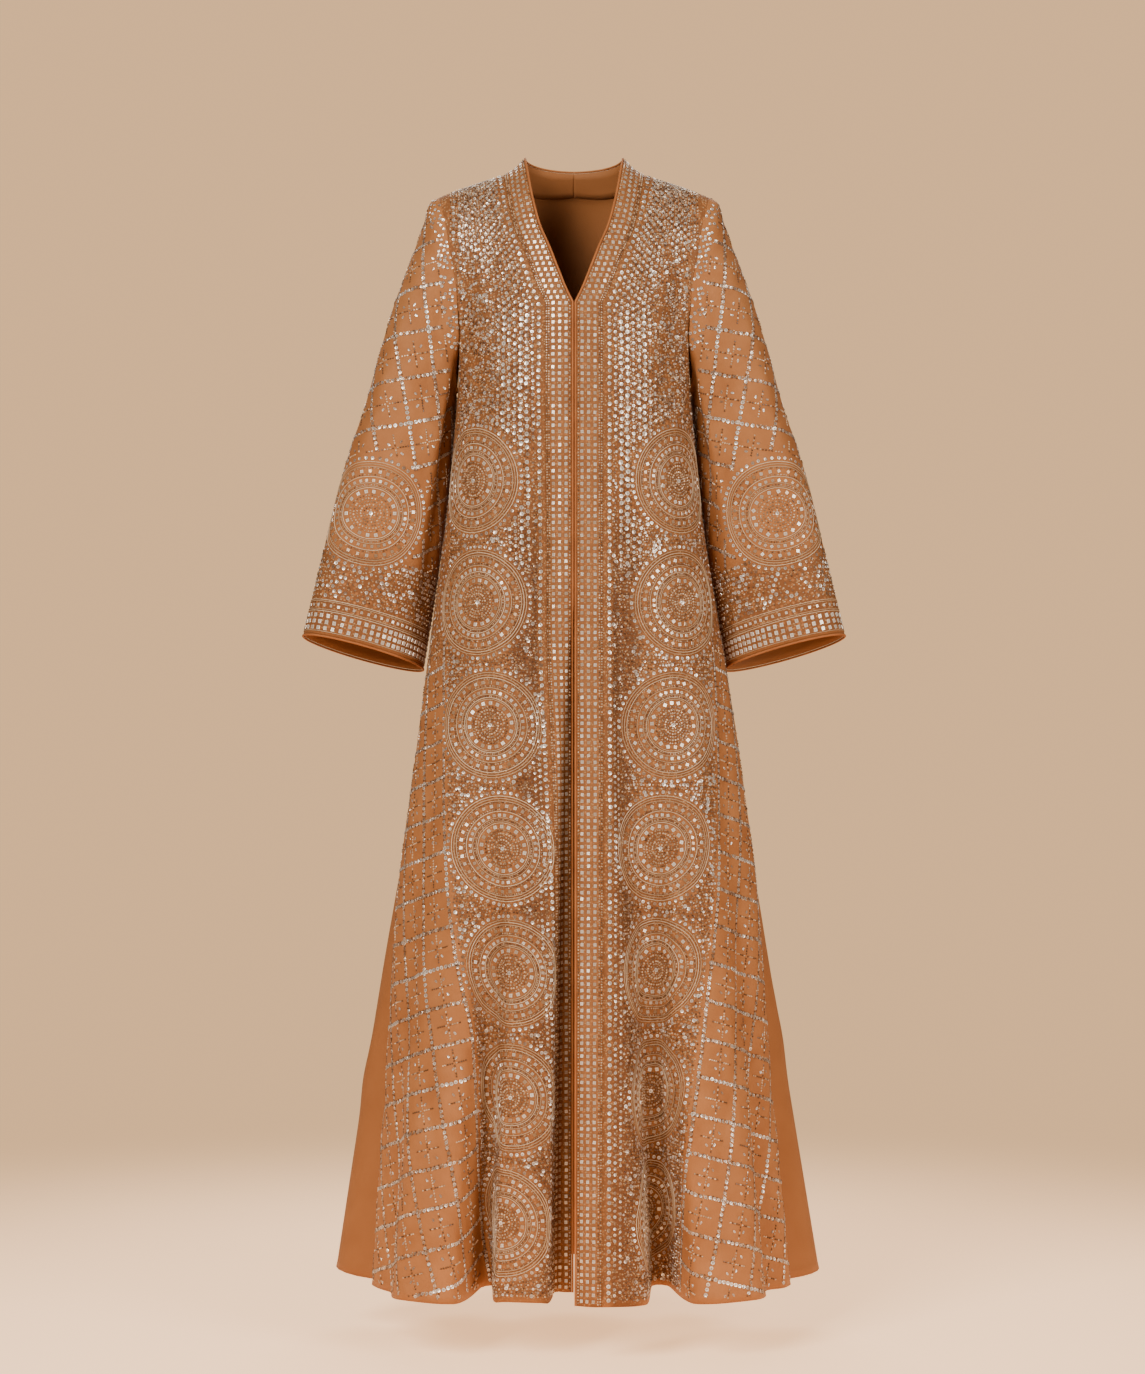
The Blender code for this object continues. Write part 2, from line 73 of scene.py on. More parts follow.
SHOULDER_LINE = [
    # out, drop
    (0.0000, -0.0110),
    (0.0626, -0.0090),
    (0.0800, 0.0060),
    (0.0970, 0.0140),
    (0.1370, 0.0275),
    (0.1780, 0.0420),
]
V_LINE = [
    # drop, out
    (-0.0090, 0.0626),
    (0.0150, 0.0587),
    (0.0454, 0.0534),
    (0.0898, 0.0426),
    (0.1189, 0.0304),
    (0.1516, 0.0180),
    (0.1843, 0.0044),
    (0.1900, 0.0000),
]
ARMHOLE_LINE = [
    # drop, out
    (0.042, 0.1780),
    (0.100, 0.1640),
    (0.171, 0.1530),
    (0.235, 0.1505),
    (0.300, 0.1530),
]
BODY_RINGS = [
    # drop, out on the right, out on the left, depth of front, depth of back
    (0.300, 0.153, 0.153, 0.122, 0.100),
    (0.440, 0.165, 0.166, 0.119, 0.100),
    (0.600, 0.186, 0.190, 0.123, 0.116),
    (0.757, 0.206, 0.215, 0.131, 0.132),
    (0.950, 0.231, 0.240, 0.143, 0.150),
    (1.200, 0.250, 0.262, 0.161, 0.176),
    (1.468, 0.268, 0.287, 0.181, 0.206),
]
# Folds, as angles round the body from the middle of the front or back. Flat is half the width of a
# fold's floor or crest, and flank is how wide its side is, in degrees.
SIDE_GROOVE = ("side_groove", 90, 90, 0, 10, 10, 0.95, 1.468, 2.0, 1.0, -0.012)
FOLDS = {
    "front_left": [
        # name, angle at top and hem, flat, flank at top and hem, starts, full, ends, growth, depth
        ("edge_lobe", 9, 10, 4, 8, 7, 0.60, 1.468, 2.0, 1.2, 0.014),
        ("deep_trough", 20, 25, 2.6, 14, 4.2, 0.30, 1.468, 2.0, 2.0, -0.080),
        ("outer_lobe", 46, 43, 5, 16, 14, 0.60, 1.468, 2.0, 1.4, 0.036),
        ("outer_hollow", 60, 64, 0, 12, 9, 0.80, 1.300, 2.0, 1.3, -0.012),
        SIDE_GROOVE,
    ],
    "front_right": [
        ("turned_in_edge", 0, 0, 5.0, 7, 2.4, 0.58, 1.468, 2.0, 0.75, -0.062),
        ("inner_lobe", 13, 14, 5, 8, 6, 0.62, 1.468, 2.0, 1.2, -0.014),
        ("trough", 25, 27.5, 1.6, 12, 4.2, 0.80, 1.468, 2.0, 1.5, -0.078),
        ("outer_lobe", 46, 44, 5, 16, 14, 0.60, 1.468, 2.0, 1.4, 0.040),
        ("bust_hollow", 19, 14, 0, 14, 12, 0.30, 0.520, 0.95, 1.0, -0.012),
        SIDE_GROOVE,
    ],
    "back_left": [
        ("side_flare", 73, 73, 3, 14, 13, 0.88, 1.468, 2.0, 0.85, 0.053),
        ("side_trough", 50, 51, 2, 14, 9, 0.72, 1.468, 2.0, 1.4, -0.050),
        ("lobe", 33, 33, 4, 12, 11, 0.62, 1.468, 2.0, 1.3, 0.026),
        ("middle_trough", 15, 16, 1, 13, 9, 0.50, 1.468, 2.0, 1.5, -0.044),
        SIDE_GROOVE,
    ],
    "back_right": [
        ("side_flare", 73, 73, 3, 14, 13, 0.88, 1.468, 2.0, 0.85, 0.063),
        ("side_trough", 53, 54, 2, 13, 9, 0.80, 1.468, 2.0, 1.5, -0.046),
        ("lobe", 36, 37, 5, 12, 11, 0.66, 1.468, 2.0, 1.3, 0.030),
        ("middle_trough", 19, 19, 2, 13, 9, 0.58, 1.468, 2.0, 1.5, -0.040),
        SIDE_GROOVE,
    ],
}
# Soft creases, on the flat cloth: from one point to another, how wide, and how high
SOFT_CREASES = {
    "front_left": [
        # across and down at one end, across and down at the other, half width, height
        (0.150, 0.02, 0.105, 0.30, 0.016, 0.0030),
        (0.168, 0.10, 0.120, 0.33, 0.010, -0.0026),
        (0.185, 0.26, 0.110, 0.42, 0.011, 0.0024),
        (0.060, 0.30, 0.066, 0.92, 0.010, -0.0034),
        (0.100, 0.55, 0.092, 1.20, 0.012, 0.0026),
        (0.215, 0.46, 0.235, 1.10, 0.014, -0.0036),
        (0.170, 0.62, 0.175, 1.44, 0.013, 0.0030),
        (0.300, 0.85, 0.335, 1.46, 0.014, 0.0034),
        (0.270, 0.90, 0.290, 1.46, 0.010, -0.0026),
        (0.390, 1.00, 0.430, 1.46, 0.013, -0.0028),
    ],
    "front_right": [
        (0.155, 0.02, 0.112, 0.28, 0.015, 0.0030),
        (0.170, 0.12, 0.125, 0.35, 0.011, -0.0028),
        (0.190, 0.28, 0.118, 0.45, 0.010, 0.0022),
        (0.058, 0.34, 0.072, 0.95, 0.011, -0.0036),
        (0.098, 0.50, 0.104, 1.15, 0.012, 0.0028),
        (0.210, 0.50, 0.226, 1.16, 0.015, -0.0034),
        (0.176, 0.66, 0.186, 1.44, 0.012, 0.0032),
        (0.310, 0.90, 0.326, 1.46, 0.013, 0.0034),
        (0.262, 0.96, 0.280, 1.46, 0.011, -0.0028),
        (0.400, 1.05, 0.424, 1.46, 0.012, -0.0026),
    ],
    "back": [
        (0.060, 0.05, 0.035, 0.52, 0.018, 0.0028),
        (-0.070, 0.06, -0.030, 0.60, 0.017, 0.0026),
        (0.120, 0.12, 0.085, 0.44, 0.015, -0.0028),
        (-0.130, 0.10, -0.092, 0.47, 0.016, -0.0026),
        (0.000, 0.35, 0.008, 1.20, 0.016, -0.0030),
        (0.155, 0.40, 0.190, 1.25, 0.016, 0.0032),
        (-0.160, 0.42, -0.182, 1.30, 0.015, 0.0030),
        (0.090, 0.70, 0.105, 1.44, 0.012, 0.0026),
        (-0.095, 0.76, -0.112, 1.44, 0.012, 0.0028),
        (0.250, 0.80, 0.300, 1.46, 0.014, -0.0034),
        (-0.255, 0.84, -0.290, 1.46, 0.014, -0.0032),
        (0.340, 1.00, 0.390, 1.46, 0.012, 0.0028),
        (-0.350, 0.96, -0.402, 1.46, 0.013, 0.0030),
    ],
    "sleeve": [
        (-0.050, 0.10, -0.085, 0.58, 0.013, -0.0050),
        (-0.028, 0.06, -0.052, 0.50, 0.010, 0.0036),
        (0.008, 0.03, -0.012, 0.36, 0.012, -0.0034),
        (0.050, 0.06, 0.055, 0.46, 0.012, 0.0026),
        (0.100, 0.10, 0.130, 0.55, 0.014, -0.0034),
        (0.170, 0.12, 0.200, 0.56, 0.015, 0.0036),
        (0.215, 0.18, 0.250, 0.58, 0.013, -0.0040),
    ],
}
ROWS_TO_UNDERARM = 40
ROWS_TO_HEM = 112
COLUMNS_OF_FRONT = 64
COLUMNS_OF_BACK_HALF = 40
COLUMNS_OF_BAND = 4
SAMPLES_PER_ROW = 400
SEAM_SINK = 0.0008
SEAM_SINK_REACH = 0.004
HEM_TURN_UP = 0.010
HEM_TURN_UP_HEIGHT = 0.0006
HEM_TURN_UP_SOFT = 0.002
CREASE_END_POWER = 0.7
RIDGES_FADE_AT_EDGE = 0.02
FLAT_DOWN_STEPS = 60


def between(start, end, share):
    """A value this share of the way from one to another."""
    return start + (end - start) * share


def smooth(share):
    """A share that leaves 0 and reaches 1 gently."""
    share = np.clip(share, 0.0, 1.0)
    return share * share * (3 - 2 * share)


def risen(value, start, over):
    """Rises smoothly from 0, at the start, to 1 where it is over."""
    return smooth((value - start) / over)


def bump(value, centre, half_width):
    """Rises to 1 at the centre, and falls away to nothing on both sides."""
    return np.exp(-(((value - centre) / half_width) ** 2))


def read_table(table, column, at):
    """Reads a column of a table at values of its first column, along a smooth curve."""
    keys = np.array([row[0] for row in table], float)
    values = np.array([row[column] for row in table], float)
    slopes = np.diff(values) / np.diff(keys)
    before = np.concatenate([slopes[:1], slopes])
    after = np.concatenate([slopes, slopes[-1:]])
    same_way = before * after > 0
    tangents = np.where(same_way, 2 * before * after / np.where(same_way, before + after, 1.0), 0.0)
    at = np.clip(at, keys[0], keys[-1])
    step = np.clip(np.searchsorted(keys, at, side="right") - 1, 0, len(keys) - 2)
    width = keys[step + 1] - keys[step]
    share = (at - keys[step]) / width
    rise = values[step + 1] - values[step]
    curve = width * tangents[step] * (1 - share) - width * tangents[step + 1] * share
    curve = curve + rise * (2 * share - 1)
    return values[step] + rise * share + share * (1 - share) * curve


def chest_points(side, facing, around, share):
    """Points of the body above the underarm, from the shoulder line (share 0) to the underarm (1)."""
    around, share = np.broadcast_arrays(np.asarray(around, float), np.asarray(share, float))
    reach = read_table(ARMHOLE_LINE, 1, between(SHOULDER_TIP_DROP, UNDERARM_DROP, share))
    turn = around * math.pi / 2
    out = reach * between(around, np.sin(turn), share)
    if facing < 0:
        depth, fullness = BODY_RINGS[0][3], FRONT_ROLL
        top_at = around
    else:
        depth, fullness = BODY_RINGS[0][4], between(BACK_ROLL_AT_NECK, BACK_ROLL_AT_ARM, around)
        top_at = np.maximum(around, BAND_SEAM_AROUND)
    rolled = (1 - (1 - share) ** fullness) ** (1 / fullness)
    y = SHOULDER_Y + (facing * depth * np.cos(turn) - SHOULDER_Y) * rolled
    scoop = SCOOP_GAIN * np.maximum(share, 0.0) ** SCOOP_TOP_POWER
    scoop = scoop * np.maximum(1 - share, 0.0) ** SCOOP_FOOT_POWER
    y = y + facing * ARMHOLE_HALF_DEPTH * scoop * around**SCOOP_POWER
    top = read_table(SHOULDER_LINE, 1, top_at * SHOULDER_HALF)
    return np.stack([side * out, y, -between(top, UNDERARM_DROP, share)], axis=-1)


def fold_depth(panel, drop, angle):
    """How far a panel's folds push it out (or in, below 0) at these drops and angles."""
    depth = np.zeros(np.broadcast(drop, angle).shape)
    for _, top, hem, flat, flank_top, flank_hem, starts, full, ends, growth, most in FOLDS[panel]:
        down = (drop - UNDERARM_DROP) / (HEM_DROP - UNDERARM_DROP)
        flank = between(flank_top, flank_hem, down)
        beyond = np.abs(angle - between(top, hem, down)) - flat * down
        grown = np.clip((drop - starts) / (full - starts), 0.0, 1.0) ** growth
        grown = np.where(drop > full, 1 - risen(drop, full, ends - full), grown)
        grown = np.where(drop >= ends, 0.0, grown)
        depth = depth + most * grown * (1 - smooth(np.maximum(beyond, 0.0) / flank))
    return depth


def skirt_points(panel, side, facing, drop, around):
    """Points of the body below the underarm, on the ring at this drop, folds and all."""
    reach = read_table(BODY_RINGS, 2 if side > 0 else 1, drop)
    depth = read_table(BODY_RINGS, 3 if facing < 0 else 4, drop)
    angle = around * math.pi / 2
    pushed = fold_depth(panel, drop, around * 90)
    toward = around * around * math.pi / 2
    x = reach * np.sin(angle) + pushed * np.sin(toward)
    y = depth * np.cos(angle) + pushed * np.cos(toward)
    return np.stack([side * x, facing * y, -(drop - HEM_LIFT * pushed * pushed)], axis=-1)


def lengths_along(line):
    """How far each point of a line is from its start, along the line."""
    return np.concatenate([[0.0], np.cumsum(np.linalg.norm(np.diff(line, axis=0), axis=1))])


def read_line(line, along, places):
    """The points of a line at these distances along it."""
    return np.stack([np.interp(places, along, column) for column in line.T], axis=-1)


def v_edge_around(share):
    """Where the neck opening cuts a front's row."""
    drop = between(NECK_DROP, UNDERARM_DROP, share)
    if drop >= V_DROP:
        return 0.0
    shares = np.linspace(0, 1, SAMPLES_PER_ROW + 1)
    out = chest_points(1, -1, shares, share)[:, 0]
    return float(np.interp(read_table(V_LINE, 1, drop), out, shares))


def band_seam_around():
    """Where the band's outer edge meets the shoulder seam, as a share of the way to the armhole."""
    shares = np.linspace(NECK_HALF / SHOULDER_HALF, 1, SAMPLES_PER_ROW + 1)
    line = chest_points(1, -1, shares, 0.0)
    return float(np.interp(BAND_ENDS_AT, lengths_along(line), line[:, 0]) / SHOULDER_HALF)


BAND_SEAM_AROUND = band_seam_around()
UPPER_SHARES = (1 - np.cos(np.linspace(0, math.pi, ROWS_TO_UNDERARM + 1))) / 2
LOWER_DROPS = np.linspace(UNDERARM_DROP, HEM_DROP, ROWS_TO_HEM + 1)[1:]


def flat_down(facing, around, share):
    """How far down the flat cloth a point of the upper body lies: the underarm is at its own drop."""
    steps = np.linspace(0, 1, FLAT_DOWN_STEPS)
    lines = chest_points(1, facing, around[:, None], between(share, 1.0, steps)[None, :])
    return UNDERARM_DROP - np.linalg.norm(np.diff(lines, axis=1), axis=2).sum(axis=1)


def front_panel(panel, side):
    """Grids of a front and its band, each as points and flat places, and the line of its binding."""
    front, front_flat, band, binding, edge_at = [], [], [], [], []
    around = np.linspace(0, 1, SAMPLES_PER_ROW + 1)
    rows = [(share, None) for share in UPPER_SHARES] + [(None, drop) for drop in LOWER_DROPS]
    for share, drop in rows:
        if share is None:
            line = skirt_points(panel, side, -1, drop, around)
            down = np.full(around.shape, drop)
            edge = 0.0
        else:
            line = chest_points(side, -1, around, share)
            down = flat_down(-1, around, share)
            edge = v_edge_around(share)
        along = lengths_along(line)
        edge_along = np.interp(edge, around, along)
        band_along = edge_along + np.linspace(BAND_STARTS_AT, BAND_ENDS_AT, COLUMNS_OF_BAND + 1)
        front_along = np.linspace(edge_along + BAND_ENDS_AT, along[-1], COLUMNS_OF_FRONT + 1)
        front.append(read_line(line, along, front_along))
        front_flat.append(np.stack([front_along, np.interp(front_along, along, down)], axis=-1))
        band.append(read_line(line, along, band_along))
        binding.append(read_line(line, along, edge_along + BINDING_AXIS_AT))
        edge_at.append((float(np.interp(edge_along, along, down)), edge_along))
    return np.array(front), np.array(front_flat), np.array(band), np.array(binding), edge_at


def back_neck_share(around):
    """How far down the back the neck seam lies at this share of the way to the armhole."""
    inside = np.clip(around / BAND_SEAM_AROUND, 0.0, 1.0)
    behind = BACK_NECK_SEAM_DEPTH * np.sqrt(1 - inside**2)
    depth = BODY_RINGS[0][4] * np.cos(around * math.pi / 2) - SHOULDER_Y
    fullness = between(BACK_ROLL_AT_NECK, BACK_ROLL_AT_ARM, around)
    return 1 - (1 - (behind / depth) ** fullness) ** (1 / fullness)


def back_half(side):
    """Half of the back, from the centre to the side, as points and flat places."""
    panel = "back_left" if side > 0 else "back_right"
    neck = BAND_SEAM_AROUND * np.sin(np.linspace(0, math.pi / 2, COLUMNS_OF_BACK_HALF // 2 + 1))
    seam = np.linspace(BAND_SEAM_AROUND, 1, COLUMNS_OF_BACK_HALF // 2 + 1)[1:]
    around = np.concatenate([neck, seam])
    top = back_neck_share(around)
    points, flats = [], []
    for share in UPPER_SHARES:
        down = between(top, 1.0, share)
        points.append(chest_points(side, 1, around, down))
        drops = [flat_down(1, around[i : i + 1], down[i])[0] for i in range(len(around))]
        flats.append(np.stack([side * lengths_along(points[-1]), drops], axis=-1))
    for drop in LOWER_DROPS:
        points.append(skirt_points(panel, side, 1, drop, around))
        flats.append(np.stack([side * lengths_along(points[-1]), np.full(len(around), drop)], axis=-1))
    return np.array(points), np.array(flats)


def grid_normals(points, inside):
    """Unit normals of a grid of points, facing away from the points inside it."""
    normals = np.cross(np.gradient(points, axis=0), np.gradient(points, axis=1))
    normals /= np.maximum(np.linalg.norm(normals, axis=-1, keepdims=True), 1e-12)
    if np.sum(normals * (points - inside)) < 0:
        normals = -normals
    return normals


def creased(points, flat, inside, creases, sewn=(), hem_at=None):
    """The grid with its soft creases, its sewn edges drawn in, and its hem's turn-up."""
    height = np.zeros(points.shape[:2])
    for across_1, down_1, across_2, down_2, half_width, most in creases:
        start = np.array([across_1, down_1])
        run = np.array([across_2, down_2]) - start
        share = np.clip(((flat - start) @ run) / (run @ run), 0.0, 1.0)
        apart = np.linalg.norm(flat - start - share[..., None] * run, axis=-1)
        height += most * bump(apart, 0, half_width) * np.sin(math.pi * share) ** CREASE_END_POWER
    steps_down = np.linalg.norm(np.diff(points, axis=0), axis=-1)
    steps_across = np.linalg.norm(np.diff(points, axis=1), axis=-1)
    from_left = np.concatenate([np.zeros((len(points), 1)), np.cumsum(steps_across, axis=1)], axis=1)
    from_top = np.concatenate([np.zeros((1, points.shape[1])), np.cumsum(steps_down, axis=0)])
    reach = {"left": from_left, "right": from_left[:, -1:] - from_left, "top": from_top}
    for edge in sewn:
        height -= SEAM_SINK * bump(reach[edge], 0, SEAM_SINK_REACH)
    edge_distance = np.minimum(reach["left"], reach["right"])
    height *= np.where(height > 0, smooth(edge_distance / RIDGES_FADE_AT_EDGE), 1.0)
    if hem_at is not None:
        height += HEM_TURN_UP_HEIGHT * risen(flat[..., 1] - hem_at, -HEM_TURN_UP, HEM_TURN_UP_SOFT)
    return points + grid_normals(points, inside) * height[..., None]


def set_measure(mesh, name, values):
    """Stores a number, or three, for each point of a mesh under a name."""
    kind, field = ("FLOAT", "value") if values.ndim == 1 else ("FLOAT_VECTOR", "vector")
    attribute = mesh.attributes.new(name, kind, "POINT")
    attribute.data.foreach_set(field, values.astype(np.float32).ravel())


def sheet_mesh(name, points, flat, inside, **measures):
    """A mesh of a grid of cloth with the flat cloth as its UV map, in metres, facing out. Each
    measure, such as how closely the cloth is worked, is stored for its points."""
    rows, columns = points.shape[:2]
    index = np.arange(rows * columns).reshape(rows, columns)
    corners = [index[:-1, :-1], index[1:, :-1], index[1:, 1:], index[:-1, 1:]]
    faces = np.stack(corners, axis=-1).reshape(-1, 4)
    across = points[1:, 1:] - points[:-1, :-1]
    other = points[:-1, 1:] - points[1:, :-1]
    if np.sum(np.cross(across, other) * (points[:-1, :-1] - inside[:-1, :-1])) < 0:
        faces = faces[:, ::-1]
    mesh = bpy.data.meshes.new(name)
    mesh.from_pydata(points.reshape(-1, 3).tolist(), [], faces.tolist())
    uv = mesh.uv_layers.new(name="UVMap")
    uv.data.foreach_set("uv", flat.reshape(-1, 2)[faces.reshape(-1)].astype(np.float32).ravel())
    for measure, values in measures.items():
        set_measure(mesh, measure, values.ravel())
    mesh.shade_smooth()
    return mesh


def plain_object(name, mesh):
    """Puts a mesh, a lamp or a camera in the scene under a name."""
    piece = bpy.data.objects.new(name, mesh)
    bpy.context.scene.collection.objects.link(piece)
    return piece


def made_plain(piece, name):
    """Applies a piece's modifiers into a plain mesh of its own, and removes the piece."""
    graph = bpy.context.evaluated_depsgraph_get()
    mesh = bpy.data.meshes.new_from_object(piece.evaluated_get(graph), depsgraph=graph)
    bpy.data.objects.remove(piece)
    mesh.name = name
    return plain_object(name, mesh)


def cloth_shell(name, mesh, thickness, outside, inside, weld=False):
    """A sheet of cloth with its own thickness, laid inside the grid that gives its outer side."""
    piece = plain_object(name + "_sheet", mesh.copy())
    piece.data.materials.append(outside)
    piece.data.materials.append(inside)
    if weld:
        shape = bmesh.new()
        shape.from_mesh(piece.data)
        bmesh.ops.remove_doubles(shape, verts=shape.verts, dist=1e-6)
        shape.to_mesh(piece.data)
        shape.free()
    solidify = piece.modifiers.new("thickness", "SOLIDIFY")
    solidify.thickness = thickness
    solidify.offset = -1
    solidify.use_even_offset = False
    solidify.material_offset = 1
    solidify.material_offset_rim = 1
    shell = made_plain(piece, name)
    shell.data.shade_smooth()
    return shell


def feed(node, **given):
    """Sets a node's settings, in small letters, and its inputs, by name or as _0 for the first. An
    input takes a value, a colour of three numbers, or another node's output."""
    for key, value in given.items():
        if key[0].islower():
            setattr(node, key, value)
            continue
        socket = node.inputs[int(key[1:])] if key[0] == "_" else node.inputs[key.replace("_", " ")]
        if isinstance(value, bpy.types.NodeSocket):
            node.id_data.links.new(value, socket)
        else:
            socket.default_value = (*value, 1.0) if socket.type == "RGBA" else value
    return node


def adder(tree):
    """A short way to add a node to this tree, with its settings and inputs."""
    return lambda kind, **given: feed(tree.nodes.new(kind), **given)


def new_material(name):
    """A material, its shader, and a short way to add nodes to it."""
    material = bpy.data.materials.new(name)
    material.use_nodes = True
    return material, material.node_tree.nodes["Principled BSDF"], adder(material.node_tree)


def combined(add, operation, *values):
    """A sum, product or other operation on values and outputs."""
    inputs = {f"_{number}": value for number, value in enumerate(values)}
    return add("ShaderNodeMath", operation=operation, **inputs).outputs[0]


def mixed(add, factor, low, high):
    """A colour between two others."""
    return add("ShaderNodeMix", data_type="RGBA", _0=factor, _6=low, _7=high).outputs[2]


def shaped(add, value, low, high, to_low=0.0, to_high=1.0):
    """A value carried from one range to another, and held at its ends."""
    node = add(
        "ShaderNodeMapRange", Value=value, From_Min=low, From_Max=high, To_Min=to_low, To_Max=to_high
    )
    return node.outputs["Result"]


def ramp(add, value, stops, interpolation="LINEAR"):
    """A level read from stops of place and level."""
    node = add("ShaderNodeValToRGB", Fac=value)
    node.color_ramp.interpolation = interpolation
    elements = node.color_ramp.elements
    elements[1].position, elements[1].color = 1.0, (stops[-1][1],) * 3 + (1.0,)
    elements[0].position, elements[0].color = 0.0, (stops[0][1],) * 3 + (1.0,)
    for place, level in stops[1:]:
        if place < 1:
            elements.new(place).color = (level, level, level, 1.0)
    return node.outputs["Color"]


# Crepe: a matt cloth with a fine puckered weave and a soft sheen. Where it is worked over, couched tan
# thread and dark brown beads too small to be pieces of their own fill it; the dark beads are laid on
# thickly, so that they also stand for painted shade between the sequins.
CREPE = (0.345, 0.133, 0.042)
CREPE_DEEP = (0.270, 0.094, 0.026)
# The plain crepe is the same crepe painted darker: painted shade, for the back panel and the inner side of
# every piece
SHADED_PLAIN_CREPE = (0.280, 0.103, 0.031)
SHADED_PLAIN_CREPE_DEEP = (0.252, 0.090, 0.026)
FILL_THREAD = (0.50, 0.31, 0.155)
FILL_DARK = (0.085, 0.026, 0.006)
SHEEN_TINT = (1.0, 0.72, 0.50)
CREPE_ROUGHNESS = (0.58, 0.74)
WEAVE_PITCH = 0.0011
WEAVE_RIDGE_TONE = 1.25
WEAVE_SHOWS = 0.25
WEAVE_HEIGHT = 0.35
CLOUD_SCALE = 22.0
PUCKER_SCALE = 620.0
NOISE_MIDDLE = (0.3, 0.7)
KNOT_SCALE = 300.0
KNOT_EDGE = (0.40, 0.20)
KNOT_SHOWS = 0.64
KNOT_HEIGHT = 2.2
BEAD_SCALE = 185.0
BEAD_EDGE = (0.24, 0.42)
DARK_BEADS_AND_SHADE_SHOW = 0.58
BROWN_AND_SHADE_SHOWS = 0.56
BUMP_HEIGHT = 0.0005
# How closely thread fills a medallion at each radius
RING_FILL = [
    # radius, fill
    (0.000, 1.00), (0.0240, 1.00), (0.0248, 0.50), (0.0318, 0.50), (0.0326, 1.00), (0.0386, 1.00),
    (0.0392, 0.60), (0.0468, 0.60), (0.0474, 1.00), (0.0514, 1.00), (0.0520, 0.60), (0.0582, 0.60),
    (0.0590, 1.00), (0.0680, 1.00), (0.0688, 0.75), (0.0752, 0.75), (0.0760, 1.00), (0.0800, 1.00),
]
RING_REACH = 0.080


def ring_fill(add, flat, centres, mirrored_at):
    """How closely thread fills each place of the medallions, from how far it is from the middle of
    the one that is nearest to it down the cloth."""
    split = add("ShaderNodeSeparateXYZ", _0=flat)
    across, down = split.outputs["X"], split.outputs["Y"]
    if mirrored_at is not None:
        across = combined(add, "ABSOLUTE", combined(add, "SUBTRACT", across, mirrored_at))
        across = combined(add, "MULTIPLY_ADD", across, -1.0, mirrored_at)
    downs = [centre[1] / HEM_DROP for centre in centres]
    starts = [0.0] + [(one + other) / 2 for one, other in zip(downs, downs[1:])]
    squares = []
    for place, column in ((across, 0), (down, 1)):
        stops = [(start, centre[column]) for start, centre in zip(starts, centres)]
        middle = ramp(add, combined(add, "DIVIDE", down, HEM_DROP), stops, "CONSTANT")
        squares.append(combined(add, "POWER", combined(add, "SUBTRACT", place, middle), 2.0))
    radius = combined(add, "DIVIDE", combined(add, "SQRT", combined(add, "ADD", *squares)), RING_REACH)
    return ramp(add, radius, [(at / RING_REACH, fill) for at, fill in RING_FILL])


def crepe_material(name, color, deep, worked=False, pitch=WEAVE_PITCH, medallions=None, mirrored_at=None):
    """Crepe, worked over where worked is set. Medallions holds the middle of each medallion on the
    flat cloth, across and down, and they can be mirrored about a line down the cloth."""
    material, shader, add = new_material(name)
    flat = add("ShaderNodeUVMap", uv_map="UVMap").outputs["UV"]
    cloudy = add("ShaderNodeTexNoise", Vector=flat, Scale=CLOUD_SCALE, Detail=3.0, Roughness=0.55)
    pucker = add("ShaderNodeTexNoise", Vector=flat, Scale=PUCKER_SCALE, Detail=2.0, Roughness=0.5)
    weave = combined(add, "MULTIPLY", *[
        add(
            "ShaderNodeTexWave", bands_direction=way, Vector=flat, Scale=math.pi / 10 / pitch,
            Distortion=1.2, Detail_Scale=3.0,
        ).outputs["Fac"]
        for way in "XY"
    ])
    cloth = mixed(add, shaped(add, cloudy.outputs["Fac"], *NOISE_MIDDLE), deep, color)
    raised = tuple(min(1.0, part * WEAVE_RIDGE_TONE) for part in color)
    cloth = mixed(add, combined(add, "MULTIPLY", weave, WEAVE_SHOWS), cloth, raised)
    height = combined(add, "ADD", combined(add, "MULTIPLY", weave, WEAVE_HEIGHT), pucker.outputs["Fac"])
    if worked:
        cover = add("ShaderNodeAttribute", attribute_name="worked").outputs["Fac"]
        if medallions:
            cover = combined(add, "MULTIPLY", cover, ring_fill(add, flat, medallions, mirrored_at))
        knots = add("ShaderNodeTexVoronoi", Vector=flat, Scale=KNOT_SCALE, Randomness=0.75)
        # The dark beads are set densely enough to be painted shade between the sequins as well as beads
        beads = add("ShaderNodeTexVoronoi", Vector=flat, Scale=BEAD_SCALE, Randomness=0.6)
        knot = combined(add, "MULTIPLY", shaped(add, knots.outputs["Distance"], *KNOT_EDGE), cover)
        dark = combined(add, "MULTIPLY", shaped(add, beads.outputs["Distance"], *BEAD_EDGE), cover)
        # Brown beads fill the hollows beside the medallions, darkened further as painted shade of the fold's
        # trough
        browned = add("ShaderNodeAttribute", attribute_name="browned").outputs["Fac"]
        for part, share, tone in (
            (dark, DARK_BEADS_AND_SHADE_SHOW, FILL_DARK), (browned, BROWN_AND_SHADE_SHOWS, FILL_DARK), (knot, KNOT_SHOWS, FILL_THREAD)
        ):
            cloth = mixed(add, combined(add, "MULTIPLY", part, share), cloth, tone)
        height = combined(add, "ADD", height, combined(add, "MULTIPLY", knot, KNOT_HEIGHT))
    bump = add("ShaderNodeBump", Strength=0.55, Distance=BUMP_HEIGHT, Height=height)
    roughness = shaped(add, pucker.outputs["Fac"], *NOISE_MIDDLE, *CREPE_ROUGHNESS)
    feed(
        shader, Normal=bump.outputs["Normal"], Base_Color=cloth, Roughness=roughness, Sheen_Weight=0.06,
        Sheen_Roughness=0.45, Sheen_Tint=SHEEN_TINT, Specular_IOR_Level=0.22,
    )
    return material


# The darker plain crepe is painted shade, for the back panel and every inner side
crepe_plain = crepe_material("crepe_plain", SHADED_PLAIN_CREPE, SHADED_PLAIN_CREPE_DEEP)

